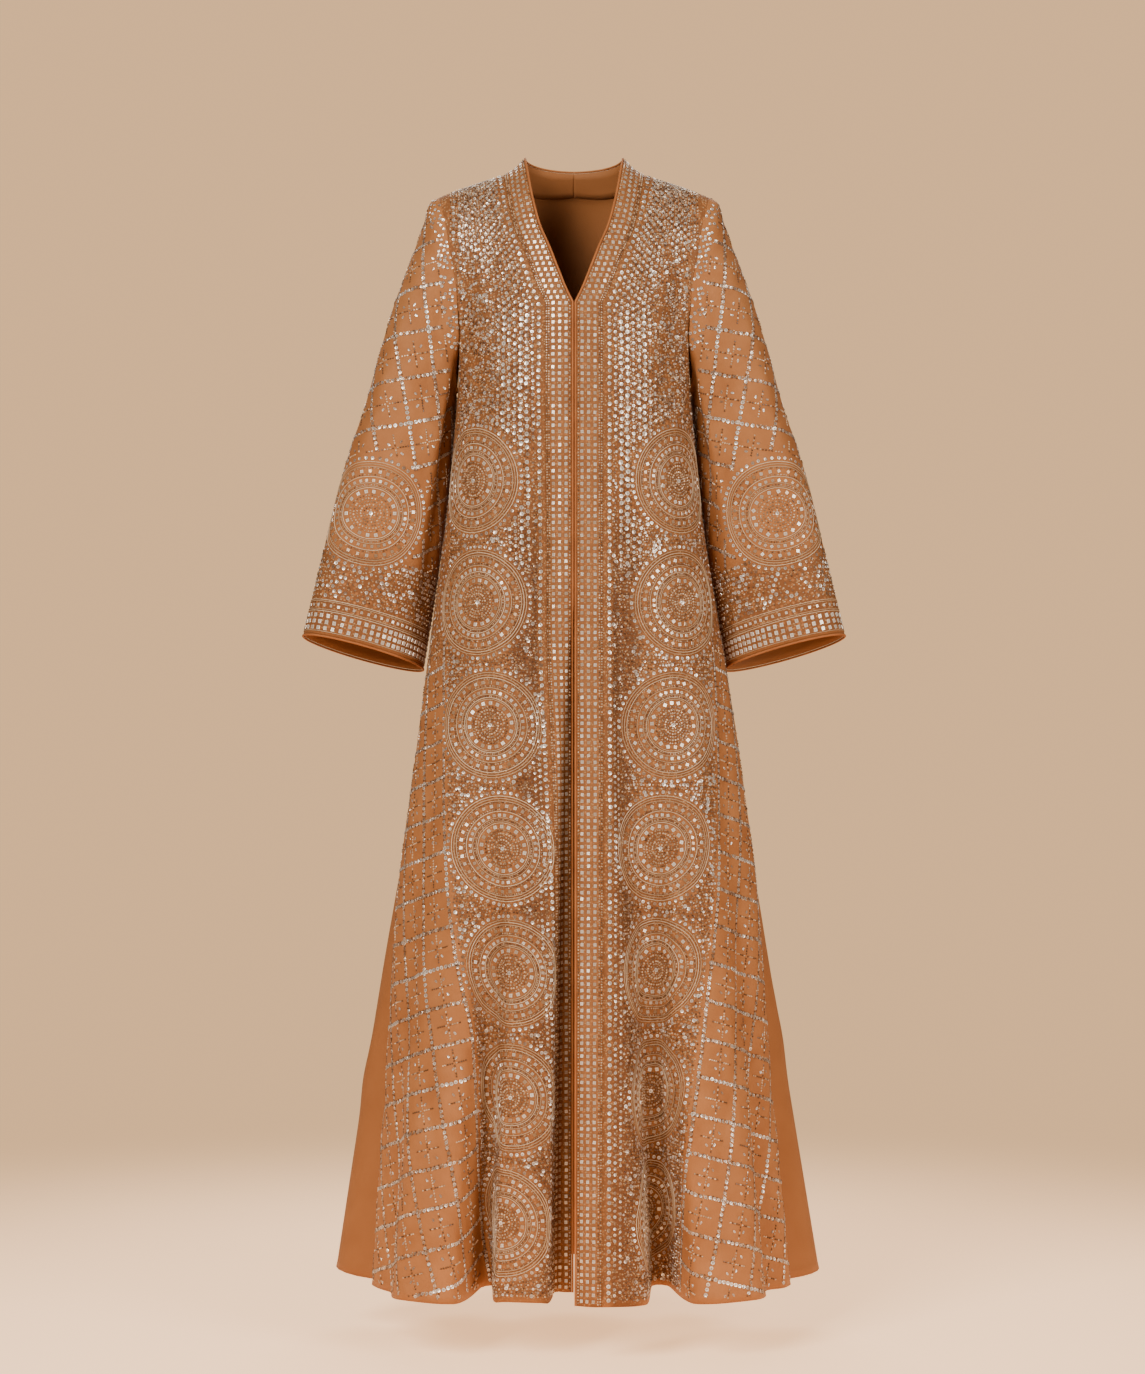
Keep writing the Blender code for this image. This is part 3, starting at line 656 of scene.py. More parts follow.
# Everything laid on the cloth is sewn to these forms, which are taken away at the end. Flats holds
# the place of each of their points on the flat cloth.
forms = {}
flats = {}
BODY_AXIS_BACK = 0.02


def axis_inside(points):
    """The middle of the body at the height of each point."""
    return points * [0, 0, 1] + [0, BODY_AXIS_BACK, 0]


def made_up(name, points, flat, inside, thickness, cloth, weld=False, **measures):
    """Makes up one piece of cloth from its grid. It stands for the solid of the same name."""
    mesh = sheet_mesh(name, points, flat, inside, **measures)
    forms[name] = plain_object(name + "_form", mesh)
    flats[name] = flat
    piece = cloth_shell(name, mesh, thickness, cloth, crepe_plain, weld)
    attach(piece, "root")
    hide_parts(name)
    return piece


# ---- The back ----------------------------------------------------------------------------------
# One wide flared panel of plain crepe, cut on the fold. It is sewn to the fronts at the shoulders
# and the sides, to the sleeves at the armholes and to the bands at the neck, and has a turned hem.
half_left, flat_left = back_half(1)
half_right, flat_right = back_half(-1)
back_points = np.concatenate([half_right[:, :0:-1], half_left], axis=1)
back_flat = np.concatenate([flat_right[:, :0:-1], flat_left], axis=1)
back_inside = axis_inside(back_points)
back_points = creased(
    back_points, back_flat, back_inside, SOFT_CREASES["back"], ("left", "right", "top"), HEM_DROP
)
# The back is laid in the darker plain crepe, which is painted shade
back = made_up("back", back_points, back_flat, back_inside, CREPE_THICKNESS, crepe_plain)

# ---- The fronts --------------------------------------------------------------------------------
# Two flared panels of crepe, worked almost all over. Each is sewn to its band along the front edge
# and the neck, and hangs in lobes and troughs that deepen towards the turned hem.
FILL_ENDS_ABOVE_HEM = 0.004
MEDALLION_FIRST_DOWN = 0.420
MEDALLION_PITCH = 0.158
MEDALLION_ACROSS = {
    "left": [0.149, 0.148, 0.134, 0.126, 0.133, 0.144, 0.150],
    "right": [0.142, 0.132, 0.116, 0.107, 0.106, 0.113, 0.134],
}
MEDALLION_CENTRES = {
    hand: [(across, MEDALLION_FIRST_DOWN + number * MEDALLION_PITCH) for number, across in enumerate(row)]
    for hand, row in MEDALLION_ACROSS.items()
}
LATTICE_TOP = 0.62
LATTICE_EDGE = {
    # down, across
    "left": [(0.60, 0.205), (0.95, 0.214), (1.07, 0.216), (1.28, 0.236), (1.47, 0.250)],
    "right": [(0.60, 0.190), (0.94, 0.184), (1.10, 0.184), (1.20, 0.192), (1.36, 0.212), (1.47, 0.222)],
}
FILL_PAST_EDGE = 0.014
FILL_EDGE_SOFT = 0.012
CHEST_FADES_FROM = 0.42
CHEST_FADES_OVER = 0.08
UPPER_FADES_OVER = 0.10
HEM_FADES_OVER = 0.004
HOLLOW_FROM_EDGE = (0.046, 0.078)
HOLLOW_SOFT = (0.008, 0.016)
BROWN_AND_SHADE_ON_MEDALLIONS = 0.35
# From the middle of a medallion: where the brown beads and painted shade begin, and over how far they deepen
BROWN_AND_SHADE_CLEAR_OF_MEDALLIONS = (0.050, 0.030)


def front_worked(flat, hand):
    """How closely a place of the front is filled with couched thread, from 0 to 1."""
    across, down = flat[..., 0], flat[..., 1]
    chest = 1 - risen(down, CHEST_FADES_FROM, CHEST_FADES_OVER)
    edge = read_table(LATTICE_EDGE[hand], 1, down)
    inner = 1 - risen(across - edge, -FILL_PAST_EDGE, FILL_EDGE_SOFT)
    upper = 1 - risen(down, LATTICE_TOP, UPPER_FADES_OVER)
    hem = smooth((down - HEM_DROP + FILL_ENDS_ABOVE_HEM + HEM_FADES_OVER) / HEM_FADES_OVER)
    return np.max([chest, inner, upper], axis=0) * (1 - hem)


def front_brown_and_shade(flat, hand):
    """How far brown beads and painted shade fill the hollow between the band and the medallions, from 0 to
    1. The hollow is the trough of a fold, and its brown is darkened as painted shade of it.
    """
    across, down = flat[..., 0], flat[..., 1]
    from_edge = across - np.interp(down, *np.array(neck_edges[hand]).T)
    begins, ends = [risen(from_edge, at, soft) for at, soft in zip(HOLLOW_FROM_EDGE, HOLLOW_SOFT)]
    hollow = begins * (1 - ends) * risen(down, CHEST_FADES_FROM, UPPER_FADES_OVER)
    nearest = np.min([np.hypot(across - a, down - d) for a, d in MEDALLION_CENTRES[hand]], axis=0)
    clear = risen(nearest, *BROWN_AND_SHADE_CLEAR_OF_MEDALLIONS)
    return hollow * (BROWN_AND_SHADE_ON_MEDALLIONS + (1 - BROWN_AND_SHADE_ON_MEDALLIONS) * clear)


fronts, bands, binding_lines, neck_edges = {}, {}, {}, {}
for side, hand in ((1, "left"), (-1, "right")):
    name = "front_" + hand
    points, flat, bands[hand], binding_lines[hand], neck_edges[hand] = front_panel(name, side)
    inside = axis_inside(points)
    points = creased(points, flat, inside, SOFT_CREASES[name], ("left", "right", "top"), HEM_DROP)
    front_cloth = crepe_material(
        name + "_crepe", CREPE, CREPE_DEEP, worked=True, medallions=MEDALLION_CENTRES[hand]
    )
    fronts[hand] = made_up(
        name, points, flat, inside, CREPE_THICKNESS, front_cloth,
        worked=front_worked(flat, hand), browned=front_brown_and_shade(flat, hand),
    )

# ---- The bands ---------------------------------------------------------------------------------
# A stiffened band runs up each front edge, along the neck and round to the centre of the back neck.
# It is double cloth, set with square mirrors, and sewn to the front and the back along its outside.
BACK_NECK_STATIONS = 40
BACK_NECK_OPENING_DEPTH = 0.050
BACK_NECK_OPENING_DROP = 0.000
BAND_THICKNESS = 0.0020
BAND_FILL = 0.7
BAND_WEAVE_PITCH = 0.0016

band_cloth = crepe_material("band_cloth", CREPE, CREPE_DEEP, worked=True, pitch=BAND_WEAVE_PITCH)


def back_neck_rows(side, shoulder_row):
    """The band and the binding carried on from the shoulder to the centre of the back neck."""
    around = BAND_SEAM_AROUND * np.cos(np.linspace(0, math.pi / 2, BACK_NECK_STATIONS + 1))
    outer = chest_points(side, 1, around, back_neck_share(around))
    rows = []
    for point in outer:
        cosine = min(abs(point[0]) / abs(outer[0][0]), 1.0)
        sine = math.sqrt(1 - cosine * cosine)
        y = SHOULDER_Y + BACK_NECK_OPENING_DEPTH * sine
        drop = between(NECK_DROP, BACK_NECK_OPENING_DROP, sine)
        opening = np.array([side * NECK_HALF * cosine, y, -drop])
        across = np.linalg.norm(point - opening)
        spans = np.array([BINDING_AXIS_AT, *np.linspace(BAND_STARTS_AT, across, COLUMNS_OF_BAND + 1)])
        straight = opening + (point - opening) * (spans / across)[:, None]
        if not rows:
            bow = shoulder_row - straight
        rows.append(straight + bow * cosine)
    return np.array(rows)


for side, hand in ((1, "left"), (-1, "right")):
    name = "band_" + hand
    shoulder_row = np.vstack([binding_lines[hand][:1], bands[hand][0]])
    neck_rows = back_neck_rows(side, shoulder_row)[:0:-1]
    points = np.concatenate([neck_rows[:, 1:], bands[hand]])
    binding_lines[hand] = np.concatenate([neck_rows[:, 0], binding_lines[hand]])
    upward = lengths_along(points[::-1, COLUMNS_OF_BAND // 2])[::-1]
    across = np.linspace(0, BAND_WIDTH, COLUMNS_OF_BAND + 1)
    flat = np.stack(np.meshgrid(across, upward), axis=-1)
    inside = axis_inside(points)
    points = creased(points, flat, inside, [], ("right",))
    worked = np.full(points.shape[:2], BAND_FILL)
    made_up(name, points, flat, inside, BAND_THICKNESS, band_cloth, worked=worked)

# ---- The sleeves -------------------------------------------------------------------------------
# Each sleeve is one wide piece of the same crepe, folded over the arm and sewn below it, that flares
# to an open hem. It is sewn into the armhole, and its ornamented cuff is worked on the sleeve itself.
SLEEVE_RINGS = [
    # ring, outer drop, outer out, inner drop, inner out, inner back, half depth
    (0, 0.0420, 0.1780, 0.3000, 0.1530, 0.000, 0.055),
    (1, 0.0500, 0.1895, 0.3040, 0.1551, 0.011, 0.059),
    (2, 0.0760, 0.1975, 0.3120, 0.1552, 0.020, 0.064),
    (3, 0.1277, 0.2158, 0.3310, 0.1565, 0.026, 0.068),
    (4, 0.1777, 0.2356, 0.3620, 0.1590, 0.029, 0.068),
    (5, 0.2435, 0.2553, 0.4040, 0.1624, 0.031, 0.066),
    (6, 0.3158, 0.2750, 0.4500, 0.1670, 0.032, 0.063),
    (7, 0.3950, 0.3014, 0.5060, 0.1748, 0.032, 0.060),
    (8, 0.4700, 0.3205, 0.5560, 0.1823, 0.034, 0.057),
    (9, 0.5450, 0.3390, 0.6100, 0.1908, 0.034, 0.054),
    (10, 0.6185, 0.3566, 0.6620, 0.1994, 0.033, 0.051),
]
SLEEVE_HEM_TILT = 0.010
ARMHOLE_FADE_RINGS = 3
SLEEVE_ROWS = 80
SLEEVE_COLUMNS = 96
SLEEVE_SLANT = math.radians(13.7)
SLEEVE_AXIS_TOP = (0.165, 0.171)
SLEEVE_CAP_HEIGHT = 0.125
SLEEVE_FILL_HEIGHT = 0.10
SLEEVE_FILL_SOFT = 0.03
# Above the hem: where the fill begins, and over how far
SLEEVE_FILL_ENDS = (0.005, 0.003)
SLEEVE_SECTION = [
    # down the sleeve, half width, middle's distance back, half depth
    (-0.130, 0.0450, 0.004, 0.055),
    (-0.030, 0.0600, 0.005, 0.067),
    (0.150, 0.0660, 0.015, 0.066),
    (0.480, 0.0815, 0.020, 0.053),
]


def sleeve_panel(side):
    """A sleeve's grid, from the seam under the arm over the front and round the back to the seam."""
    angles = np.linspace(math.pi, -math.pi, SLEEVE_COLUMNS + 1)
    share = (1 - np.cos(angles)) / 2
    front_arm = chest_points(side, -1, 1.0, share)
    back_arm = chest_points(side, 1, 1.0, share)
    armhole = np.where((angles >= 0)[:, None], front_arm, back_arm)
    lean = (1 + np.cos(angles)) / 2
    rows, centres = [], []
    last = SLEEVE_RINGS[-1][0]
    for ring in np.linspace(0, last, SLEEVE_ROWS + 1):
        outer_drop, outer_out, inner_drop, inner_out, inner_back, half_depth = [
            float(read_table(SLEEVE_RINGS, column, ring)) for column in range(1, 7)
        ]
        drop = between(inner_drop, outer_drop, lean) - SLEEVE_HEM_TILT * np.sin(angles) * (ring / last) ** 2
        out = between(inner_out, outer_out, lean)
        y = between(inner_back, SHOULDER_Y, lean) - half_depth * np.sin(angles)
        row = np.stack([side * out, y, -drop], axis=-1)
        if ring == 0:
            drift = armhole - row
        row = row + drift * max(1 - ring / ARMHOLE_FADE_RINGS, 0.0) ** 2
        rows.append(row)
        centres.append(np.broadcast_to(row.mean(axis=0), row.shape))
    return np.array(rows), np.array(centres)


def sleeve_flat(side, points):
    """The flat sleeve: round it from the middle of its front, outwards, and down its length."""
    out = side * points[..., 0] - SLEEVE_AXIS_TOP[0]
    drop = -points[..., 2] - SLEEVE_AXIS_TOP[1]
    down = out * math.sin(SLEEVE_SLANT) + drop * math.cos(SLEEVE_SLANT)
    sideways = out * math.cos(SLEEVE_SLANT) - drop * math.sin(SLEEVE_SLANT)
    half_width = read_table(SLEEVE_SECTION, 1, down)
    toward_front = read_table(SLEEVE_SECTION, 2, down) - points[..., 1]
    half_depth = read_table(SLEEVE_SECTION, 3, down)
    turn = np.arctan2(sideways / half_width, toward_front / half_depth)
    turn[:, SLEEVE_COLUMNS // 2 :] = np.mod(turn[:, SLEEVE_COLUMNS // 2 :], 2 * math.pi)
    turn[:, : SLEEVE_COLUMNS // 2] = np.mod(turn[:, : SLEEVE_COLUMNS // 2] + math.pi, 2 * math.pi) - math.pi
    radius = np.sqrt((half_width**2 + half_depth**2) / 2)
    return np.stack([turn * radius, down + SLEEVE_CAP_HEIGHT], axis=-1)


def sleeve_worked(flat, hem_down):
    """How closely a place of the sleeve is filled with couched thread, from 0 to 1."""
    above_hem = hem_down - flat[..., 1]
    lower = 1 - risen(above_hem, SLEEVE_FILL_HEIGHT, SLEEVE_FILL_SOFT)
    return lower * risen(above_hem, *SLEEVE_FILL_ENDS)


SLEEVE_MEDALLION = (0.026, 0.430)
SLEEVE_FOLD = 0.1025
sleeve_cloth = crepe_material(
    "sleeve_crepe", CREPE, CREPE_DEEP, worked=True,
    medallions=[SLEEVE_MEDALLION], mirrored_at=SLEEVE_FOLD,
)

sleeves, sleeve_hems = {}, {}
for side, hand in ((1, "left"), (-1, "right")):
    name = "sleeve_" + hand
    points, centres = sleeve_panel(side)
    flat = sleeve_flat(side, points)
    sleeve_hems[hand] = (points[-1], points[-2])
    points = creased(points, flat, centres, SOFT_CREASES["sleeve"], ("top",))
    worked = sleeve_worked(flat, flat[-1:, :, 1])
    sleeves[hand] = made_up(
        name, points, flat, centres, CREPE_THICKNESS, sleeve_cloth, weld=True, worked=worked
    )

# ---- The bindings ------------------------------------------------------------------------------
# A narrow rolled binding of the same crepe finishes the front edges and the neck, from hem to hem,
# and another each sleeve's hem. Each is slip-stitched to the edge that it covers.
BINDING_CREPE = (0.36, 0.120, 0.034)
BINDING_DEEP = (0.26, 0.080, 0.020)
BINDING_SIDES = 10
NEVER_ALONG_BINDING = (0.3, 0.5, 0.8)

binding_crepe = crepe_material("binding_crepe", BINDING_CREPE, BINDING_DEEP)


def cord_mesh(name, path, radius, closed=False):
    """A round cord of cloth along a path, with its UV map in metres round and along it."""
    path = np.array(path)
    if closed:
        path = np.vstack([path, path[:1]])
        tangents = np.roll(path[:-1], -1, axis=0) - np.roll(path[:-1], 1, axis=0)
        tangents = np.vstack([tangents, tangents[:1]])
    else:
        tangents = np.gradient(path, axis=0)
    tangents /= np.linalg.norm(tangents, axis=1, keepdims=True)
    normal = np.cross(tangents[0], NEVER_ALONG_BINDING)
    sides = []
    for tangent in tangents:
        normal = normal - tangent * (normal @ tangent)
        normal /= np.linalg.norm(normal)
        sides.append((normal, np.cross(tangent, normal)))
    angles = np.linspace(0, 2 * math.pi, BINDING_SIDES + 1)
    rings = np.array([
        point + radius * (np.cos(angles)[:, None] * first + np.sin(angles)[:, None] * second)
        for point, (first, second) in zip(path, sides)
    ])
    flat = np.stack(np.meshgrid(radius * angles, lengths_along(path)), axis=-1)
    return sheet_mesh(name, rings, flat, np.repeat(path[:, None], BINDING_SIDES + 1, axis=1))


for side, hand in ((1, "left"), (-1, "right")):
    hem, above = sleeve_hems[hand]
    beyond = hem - above
    beyond /= np.linalg.norm(beyond, axis=1, keepdims=True)
    cuff_line = (hem + beyond * (BINDING_RADIUS + SEAM_GAP))[:-1]
    front_line = binding_lines[hand] + [side * SEAM_GAP / 2, 0, 0]
    for name, path, closed in (
        ("binding_" + hand, front_line, False),
        ("cuff_binding_" + hand, cuff_line, True),
    ):
        piece = plain_object(name, cord_mesh(name, path, BINDING_RADIUS, closed))
        piece.data.materials.append(binding_crepe)
        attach(piece, "root")
        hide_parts(name)

# ---- Sequins, mirrors, beads and thread ---------------------------------------------------------
# Round sequins are dished, square mirrors are glass with bevelled edges, and beads are faceted
# domes. Each is held flat to the cloth by its own stitches; thread is couched along drawn lines.


def turned_mesh(name, corners, rings, turn=0.0):
    """A small shape of the given number of corners, from rings of radius, height and darkening, rim first.
    Darkening at the rim is painted shade where the shape sits on the cloth, together with its stitches; in
    the middle it is the sewing hole. It ends in a point if its last radius is 0, or else in a flat top."""
    angles = np.arange(corners) * 2 * math.pi / corners + turn
    vertices = [
        (radius * math.cos(angle), radius * math.sin(angle), height)
        for radius, height, _ in rings if radius
        for angle in angles
    ]
    last = len(vertices) - corners
    faces = []
    for start in range(0, last, corners):
        for k in range(corners):
            here, there = start + k, start + (k + 1) % corners
            faces.append((here, there, there + corners, here + corners))
    if rings[-1][0]:
        faces.append(tuple(range(last, last + corners)))
    else:
        vertices.append((0, 0, rings[-1][1]))
        faces += [(last + k, last + (k + 1) % corners, len(vertices) - 1) for k in range(corners)]
    mesh = bpy.data.meshes.new(name)
    mesh.from_pydata(vertices, [], faces)
    set_measure(mesh, "tarnish", np.repeat([ring[2] for ring in rings], corners)[:len(vertices)])
    return plain_object(name, mesh)


SHAPES = {
    # radius, height and darkening of each ring, for a shape of radius 1. The dark rim is painted shade where
    # the shape sits on the cloth, with its stitches; the dark middle is the sewing hole
    "sequin": turned_mesh("sequin", 7, [(1.0, 0.0, 1.0), (0.82, 0.16, 0.0), (0.0, 0.05, 1.0)]),
    "mirror": turned_mesh(
        "mirror", 4, [(1.41, 0.0, 1.0), (1.20, 0.22, 0.0), (0.0, 0.22, 0.8)], math.pi / 4
    ),
    "bead": turned_mesh("bead", 5, [(1.0, 0.0, 0.0), (0.62, 0.78, 0.0)]),
}
# How far a shape darkens at its rim, as painted shade where it sits on the cloth with its stitches, and at
# its sewing hole
RIM_SHADE_AND_HOLE_DARKENS = 0.85
ROUGHNESS_VARIES = 0.25
GRAIN_SCALE = 900.0


def spangle_material(name, bright, dull, metallic, roughness):
    """Glass, foil or thread whose tone runs from dull to bright with each shape's own shade. It is darker
    round its edge, which is painted shade where it sits on the cloth together with its stitches, and at its
    sewing hole."""
    material, shader, add = new_material(name)
    shade = add("ShaderNodeAttribute", attribute_name="shade").outputs["Fac"]
    tarnish = add("ShaderNodeAttribute", attribute_name="tarnish").outputs["Fac"]
    outside_rim_and_hole = combined(add, "MULTIPLY_ADD", tarnish, -RIM_SHADE_AND_HOLE_DARKENS, 1.0)
    tone = mixed(add, combined(add, "MULTIPLY", shade, outside_rim_and_hole), dull, bright)
    place = add("ShaderNodeTexCoord").outputs["Object"]
    grain = add("ShaderNodeTexNoise", Scale=GRAIN_SCALE, Vector=place).outputs["Fac"]
    least, most = roughness * (1 - ROUGHNESS_VARIES), roughness * (1 + ROUGHNESS_VARIES)
    rough = shaped(add, grain, 0.0, 1.0, least, most)
    feed(shader, Base_Color=tone, Roughness=rough, Metallic=metallic)
    return material


SPANGLES = {
    # name, bright, dull, how metallic, roughness
    "sequin": spangle_material("sequin_foil", (1.00, 0.95, 0.88), (0.20, 0.095, 0.040), 0.60, 0.30),
    "mirror": spangle_material("mirror_glass", (0.98, 0.90, 0.80), (0.30, 0.17, 0.085), 0.50, 0.32),
    "bead": spangle_material("bead_glass", (0.70, 0.50, 0.33), (0.060, 0.020, 0.007), 0.15, 0.30),
    "thread": spangle_material("couched_thread", (0.60, 0.43, 0.28), (0.36, 0.20, 0.095), 0.10, 0.50),
}
CROSSWISE_STEP = 0.0015
THREAD_RADIUS = 0.0006
BRIGHT_THREAD_EVERY = 3
THREAD_SHADES = (1.0, 0.35)
LIFTS = {"sequin": 0.0003, "mirror": 0.0003, "bead": 0.0001, "thread": 0.0004}
TILTS = {"sequin": 0.16, "mirror": 0.10, "bead": 0.10}


def new_tree(name, **inputs):
    """A geometry tree with these named inputs, a short way to add nodes to it, and its inputs."""
    tree = bpy.data.node_groups.new(name, "GeometryNodeTree")
    tree.interface.new_socket("Geometry", in_out="INPUT", socket_type="NodeSocketGeometry")
    tree.interface.new_socket("Geometry", in_out="OUTPUT", socket_type="NodeSocketGeometry")
    for title, kind in inputs.items():
        tree.interface.new_socket(title, in_out="INPUT", socket_type="NodeSocket" + kind)
    add = adder(tree)
    return tree, add, add("NodeGroupInput").outputs


def measure_of(add, name, kind):
    """A measure stored for each point."""
    return add("GeometryNodeInputNamedAttribute", data_type=kind, Name=name).outputs[0]


def vector(add, operation, *values, **inputs):
    """A sum, difference or other operation on vectors."""
    inputs.update({f"_{number}": value for number, value in enumerate(values)})
    return add("ShaderNodeVectorMath", operation=operation, **inputs).outputs[0]


def laid_on_cloth(add, given):
    """Lays each point on the cloth and drops those that miss it. Gives the points, and the way that
    the cloth faces and its crosswise direction there."""
    surface = add("GeometryNodeObjectInfo", Object=given["Cloth"]).outputs["Geometry"]
    flat = measure_of(add, "flat", "FLOAT_VECTOR")
    drawn = measure_of(add, "UVMap", "FLOAT_VECTOR")
    beside = vector(add, "ADD", flat, (CROSSWISE_STEP, 0.0, 0.0))
    position, normal = add("GeometryNodeInputPosition").outputs[0], add("GeometryNodeInputNormal").outputs[0]
    here, up, there = [
        add(
            "GeometryNodeSampleUVSurface", data_type="FLOAT_VECTOR", Mesh=surface, Value=value,
            UV_Map=drawn, Sample_UV=place,
        )
        for value, place in ((position, flat), (normal, flat), (position, beside))
    ]
    lost = add("FunctionNodeBooleanMath", operation="NOT", _0=here.outputs["Is Valid"]).outputs[0]
    here, up, there = here.outputs[0], up.outputs[0], there.outputs[0]
    place = vector(add, "ADD", here, vector(add, "SCALE", up, Scale=given["Lift"]))
    kept = add("GeometryNodeDeleteGeometry", Geometry=given["Geometry"], Selection=lost)
    laid = add("GeometryNodeSetPosition", Geometry=kept.outputs[0], Position=place)
    return laid.outputs[0], up, vector(add, "SUBTRACT", there, here)


def finished(add, given, geometry):
    """Makes the geometry real, gives it its material and sends it out."""
    real = add("GeometryNodeRealizeInstances", Geometry=geometry.outputs[0])
    faced = add("GeometryNodeSetMaterial", Geometry=real.outputs[0], Material=given["Material"])
    add("NodeGroupOutput", Geometry=faced.outputs[0])


def sewn_on_tree():
    """Sews a small shape to the cloth at each point, at its own size, turn and slight tilt."""
    tree, add, given = new_tree(
        "sewn_on", Cloth="Object", Shape="Object", Lift="Float", Tilt="Float", Seed="Int",
        Material="Material",
    )
    laid, up, along = laid_on_cloth(add, given)
    square = add("FunctionNodeAxesToRotation", primary_axis="Z", secondary_axis="X", _0=up, _1=along)
    most = add("ShaderNodeCombineXYZ", X=given["Tilt"], Y=given["Tilt"]).outputs[0]
    least = vector(add, "SCALE", most, Scale=-1.0)
    lean = add("FunctionNodeRandomValue", data_type="FLOAT_VECTOR", Min=least, Max=most, Seed=given["Seed"])
    spun = add("ShaderNodeCombineXYZ", Z=measure_of(add, "turn", "FLOAT")).outputs[0]
    own = add("FunctionNodeEulerToRotation", _0=vector(add, "ADD", lean.outputs[0], spun))
    turned = add(
        "FunctionNodeRotateRotation", rotation_space="LOCAL", _0=square.outputs[0], _1=own.outputs[0]
    )
    shape = add("GeometryNodeObjectInfo", Object=given["Shape"]).outputs["Geometry"]
    finished(add, given, add(
        "GeometryNodeInstanceOnPoints", Points=laid, Instance=shape, Rotation=turned.outputs[0],
        Scale=measure_of(add, "size", "FLOAT_VECTOR"),
    ))
    return tree


def couched_tree():
    """Lays a thread on the cloth along each drawn line."""
    tree, add, given = new_tree("couched", Cloth="Object", Lift="Float", Radius="Float", Material="Material")
    laid, _, _ = laid_on_cloth(add, given)
    line = add("GeometryNodeMeshToCurve", Mesh=laid).outputs[0]
    circle = add("GeometryNodeCurvePrimitiveCircle", Resolution=3, Radius=given["Radius"])
    finished(add, given, add("GeometryNodeCurveToMesh", Curve=line, Profile_Curve=circle.outputs["Curve"]))
    return tree


SEWN_ON = sewn_on_tree()
COUCHED = couched_tree()


def grown(cloth, kind, mesh, tree, **inputs):
    """Runs a tree on a mesh of places and makes the result a plain piece, fixed to its cloth."""
    name = cloth + "_" + kind + "s"
    inputs.update(Cloth=forms[cloth], Lift=LIFTS[kind], Material=SPANGLES[kind])
    places = plain_object(name + "_places", mesh)
    modifier = places.modifiers.new(tree.name, "NODES")
    modifier.node_group = tree
    for socket in tree.interface.items_tree:
        if socket.in_out == "INPUT" and socket.name in inputs:
            modifier[socket.identifier] = inputs[socket.name]
    piece = made_plain(places, name)
    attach(piece, "root")
    return piece


def sew(cloth, kind, work, seed):
    """Sews one kind of shape to a piece of cloth. Work holds rows of across, down, half length,
    half width, turn and shade."""
    across, down, length, width, turn, shade = work.T
    thick = np.minimum(length, width)
    mesh = bpy.data.meshes.new(cloth + "_" + kind)
    mesh.vertices.add(len(work))
    set_measure(mesh, "flat", np.column_stack([across, down, 0 * thick]))
    set_measure(mesh, "size", np.column_stack([length, width, thick]))
    set_measure(mesh, "turn", turn)
    set_measure(mesh, "shade", shade)
    return grown(cloth, kind, mesh, SEWN_ON, Shape=SHAPES[kind], Tilt=TILTS[kind], Seed=seed)


def couch(cloth, lines):
    """Couches threads to a piece of cloth along lines of across and down. Every third is bright."""
    places = np.concatenate(lines)
    counts = [len(line) for line in lines]
    shades = np.repeat([THREAD_SHADES[k % BRIGHT_THREAD_EVERY > 0] for k in range(len(lines))], counts)
    starts = np.cumsum([0] + counts)
    edges = [(i, i + 1) for a, b in zip(starts, starts[1:]) for i in range(a, b - 1)]
    mesh = bpy.data.meshes.new(cloth + "_thread")
    mesh.from_pydata([(0, 0, 0)] * len(places), edges, [])
    set_measure(mesh, "flat", np.column_stack([places, 0 * shades]))
    set_measure(mesh, "shade", shades)
    return grown(cloth, "thread", mesh, COUCHED, Radius=THREAD_RADIUS)


def outline_of(flat):
    """The outline of a flat piece, from its grid."""
    return np.vstack([flat[0], flat[1:, -1], flat[-1, -2::-1], flat[-2:0:-1, 0]])


def well_inside(places, outline, margin):
    """Which places lie inside a flat outline, at least a margin from it."""
    across, down = places.T
    inside = np.zeros(len(places), bool)
    nearest = np.full(len(places), np.inf)
    ahead = np.roll(outline, -1, axis=0)
    for (x, y), end, (dx, dy) in zip(outline, ahead[:, 1], ahead - outline):
        crosses = (y > down) != (end > down)
        if crosses.any():
            inside[crosses] ^= across[crosses] < x + (down[crosses] - y) / dy * dx
        share = np.clip(((across - x) * dx + (down - y) * dy) / max(dx * dx + dy * dy, 1e-12), 0, 1)
        nearest = np.minimum(nearest, np.hypot(across - x - share * dx, down - y - share * dy))
    return inside & (nearest > margin)


def stitched(kind, places, half, turn, shade, kept=slice(None)):
    """One kind of work: rows of across, down, half length, half width, turn and shade. Half is one
    size or a length and a width, and any but the places may be given once for all."""
    columns = [*(half if isinstance(half, tuple) else (half, half)), turn, shade]
    columns = [np.broadcast_to(column, len(places)) for column in columns]
    return kind, np.column_stack([places, *columns])[kept]


def gathered(work, outline, margin, keep=None):
    """Joins work by kind, and keeps what lies on the cloth, clear of its edges, and where wanted."""
    joined = {}
    for kind, rows in work:
        joined.setdefault(kind, []).append(rows)
    for kind, rows in joined.items():
        rows = np.concatenate(rows)
        rows = rows[well_inside(rows[:, :2], outline, margin)]
        joined[kind] = rows[keep(rows[:, :2])] if keep else rows
    return joined


def worked_over(cloth, first, second, lines, seed):
    """Sews two layers of work to a piece of cloth and couches its threads."""
    pieces = []
    for number, kind in enumerate(("sequin", "mirror", "bead")):
        rows = [layer[kind] for layer in (first, second) if kind in layer]
        pieces.append(sew(cloth, kind, np.concatenate(rows), seed + number))
    return [*pieces, couch(cloth, lines)]


def two_tone(rng, count, share, dull, bright):
    """Shades of which a share is dull and the rest bright, each a level or a least and a most."""
    dulled = rng.random(count) < share
    tones = [tone if isinstance(tone, float) else rng.uniform(*tone, count) for tone in (dull, bright)]
    return np.where(dulled, *tones)


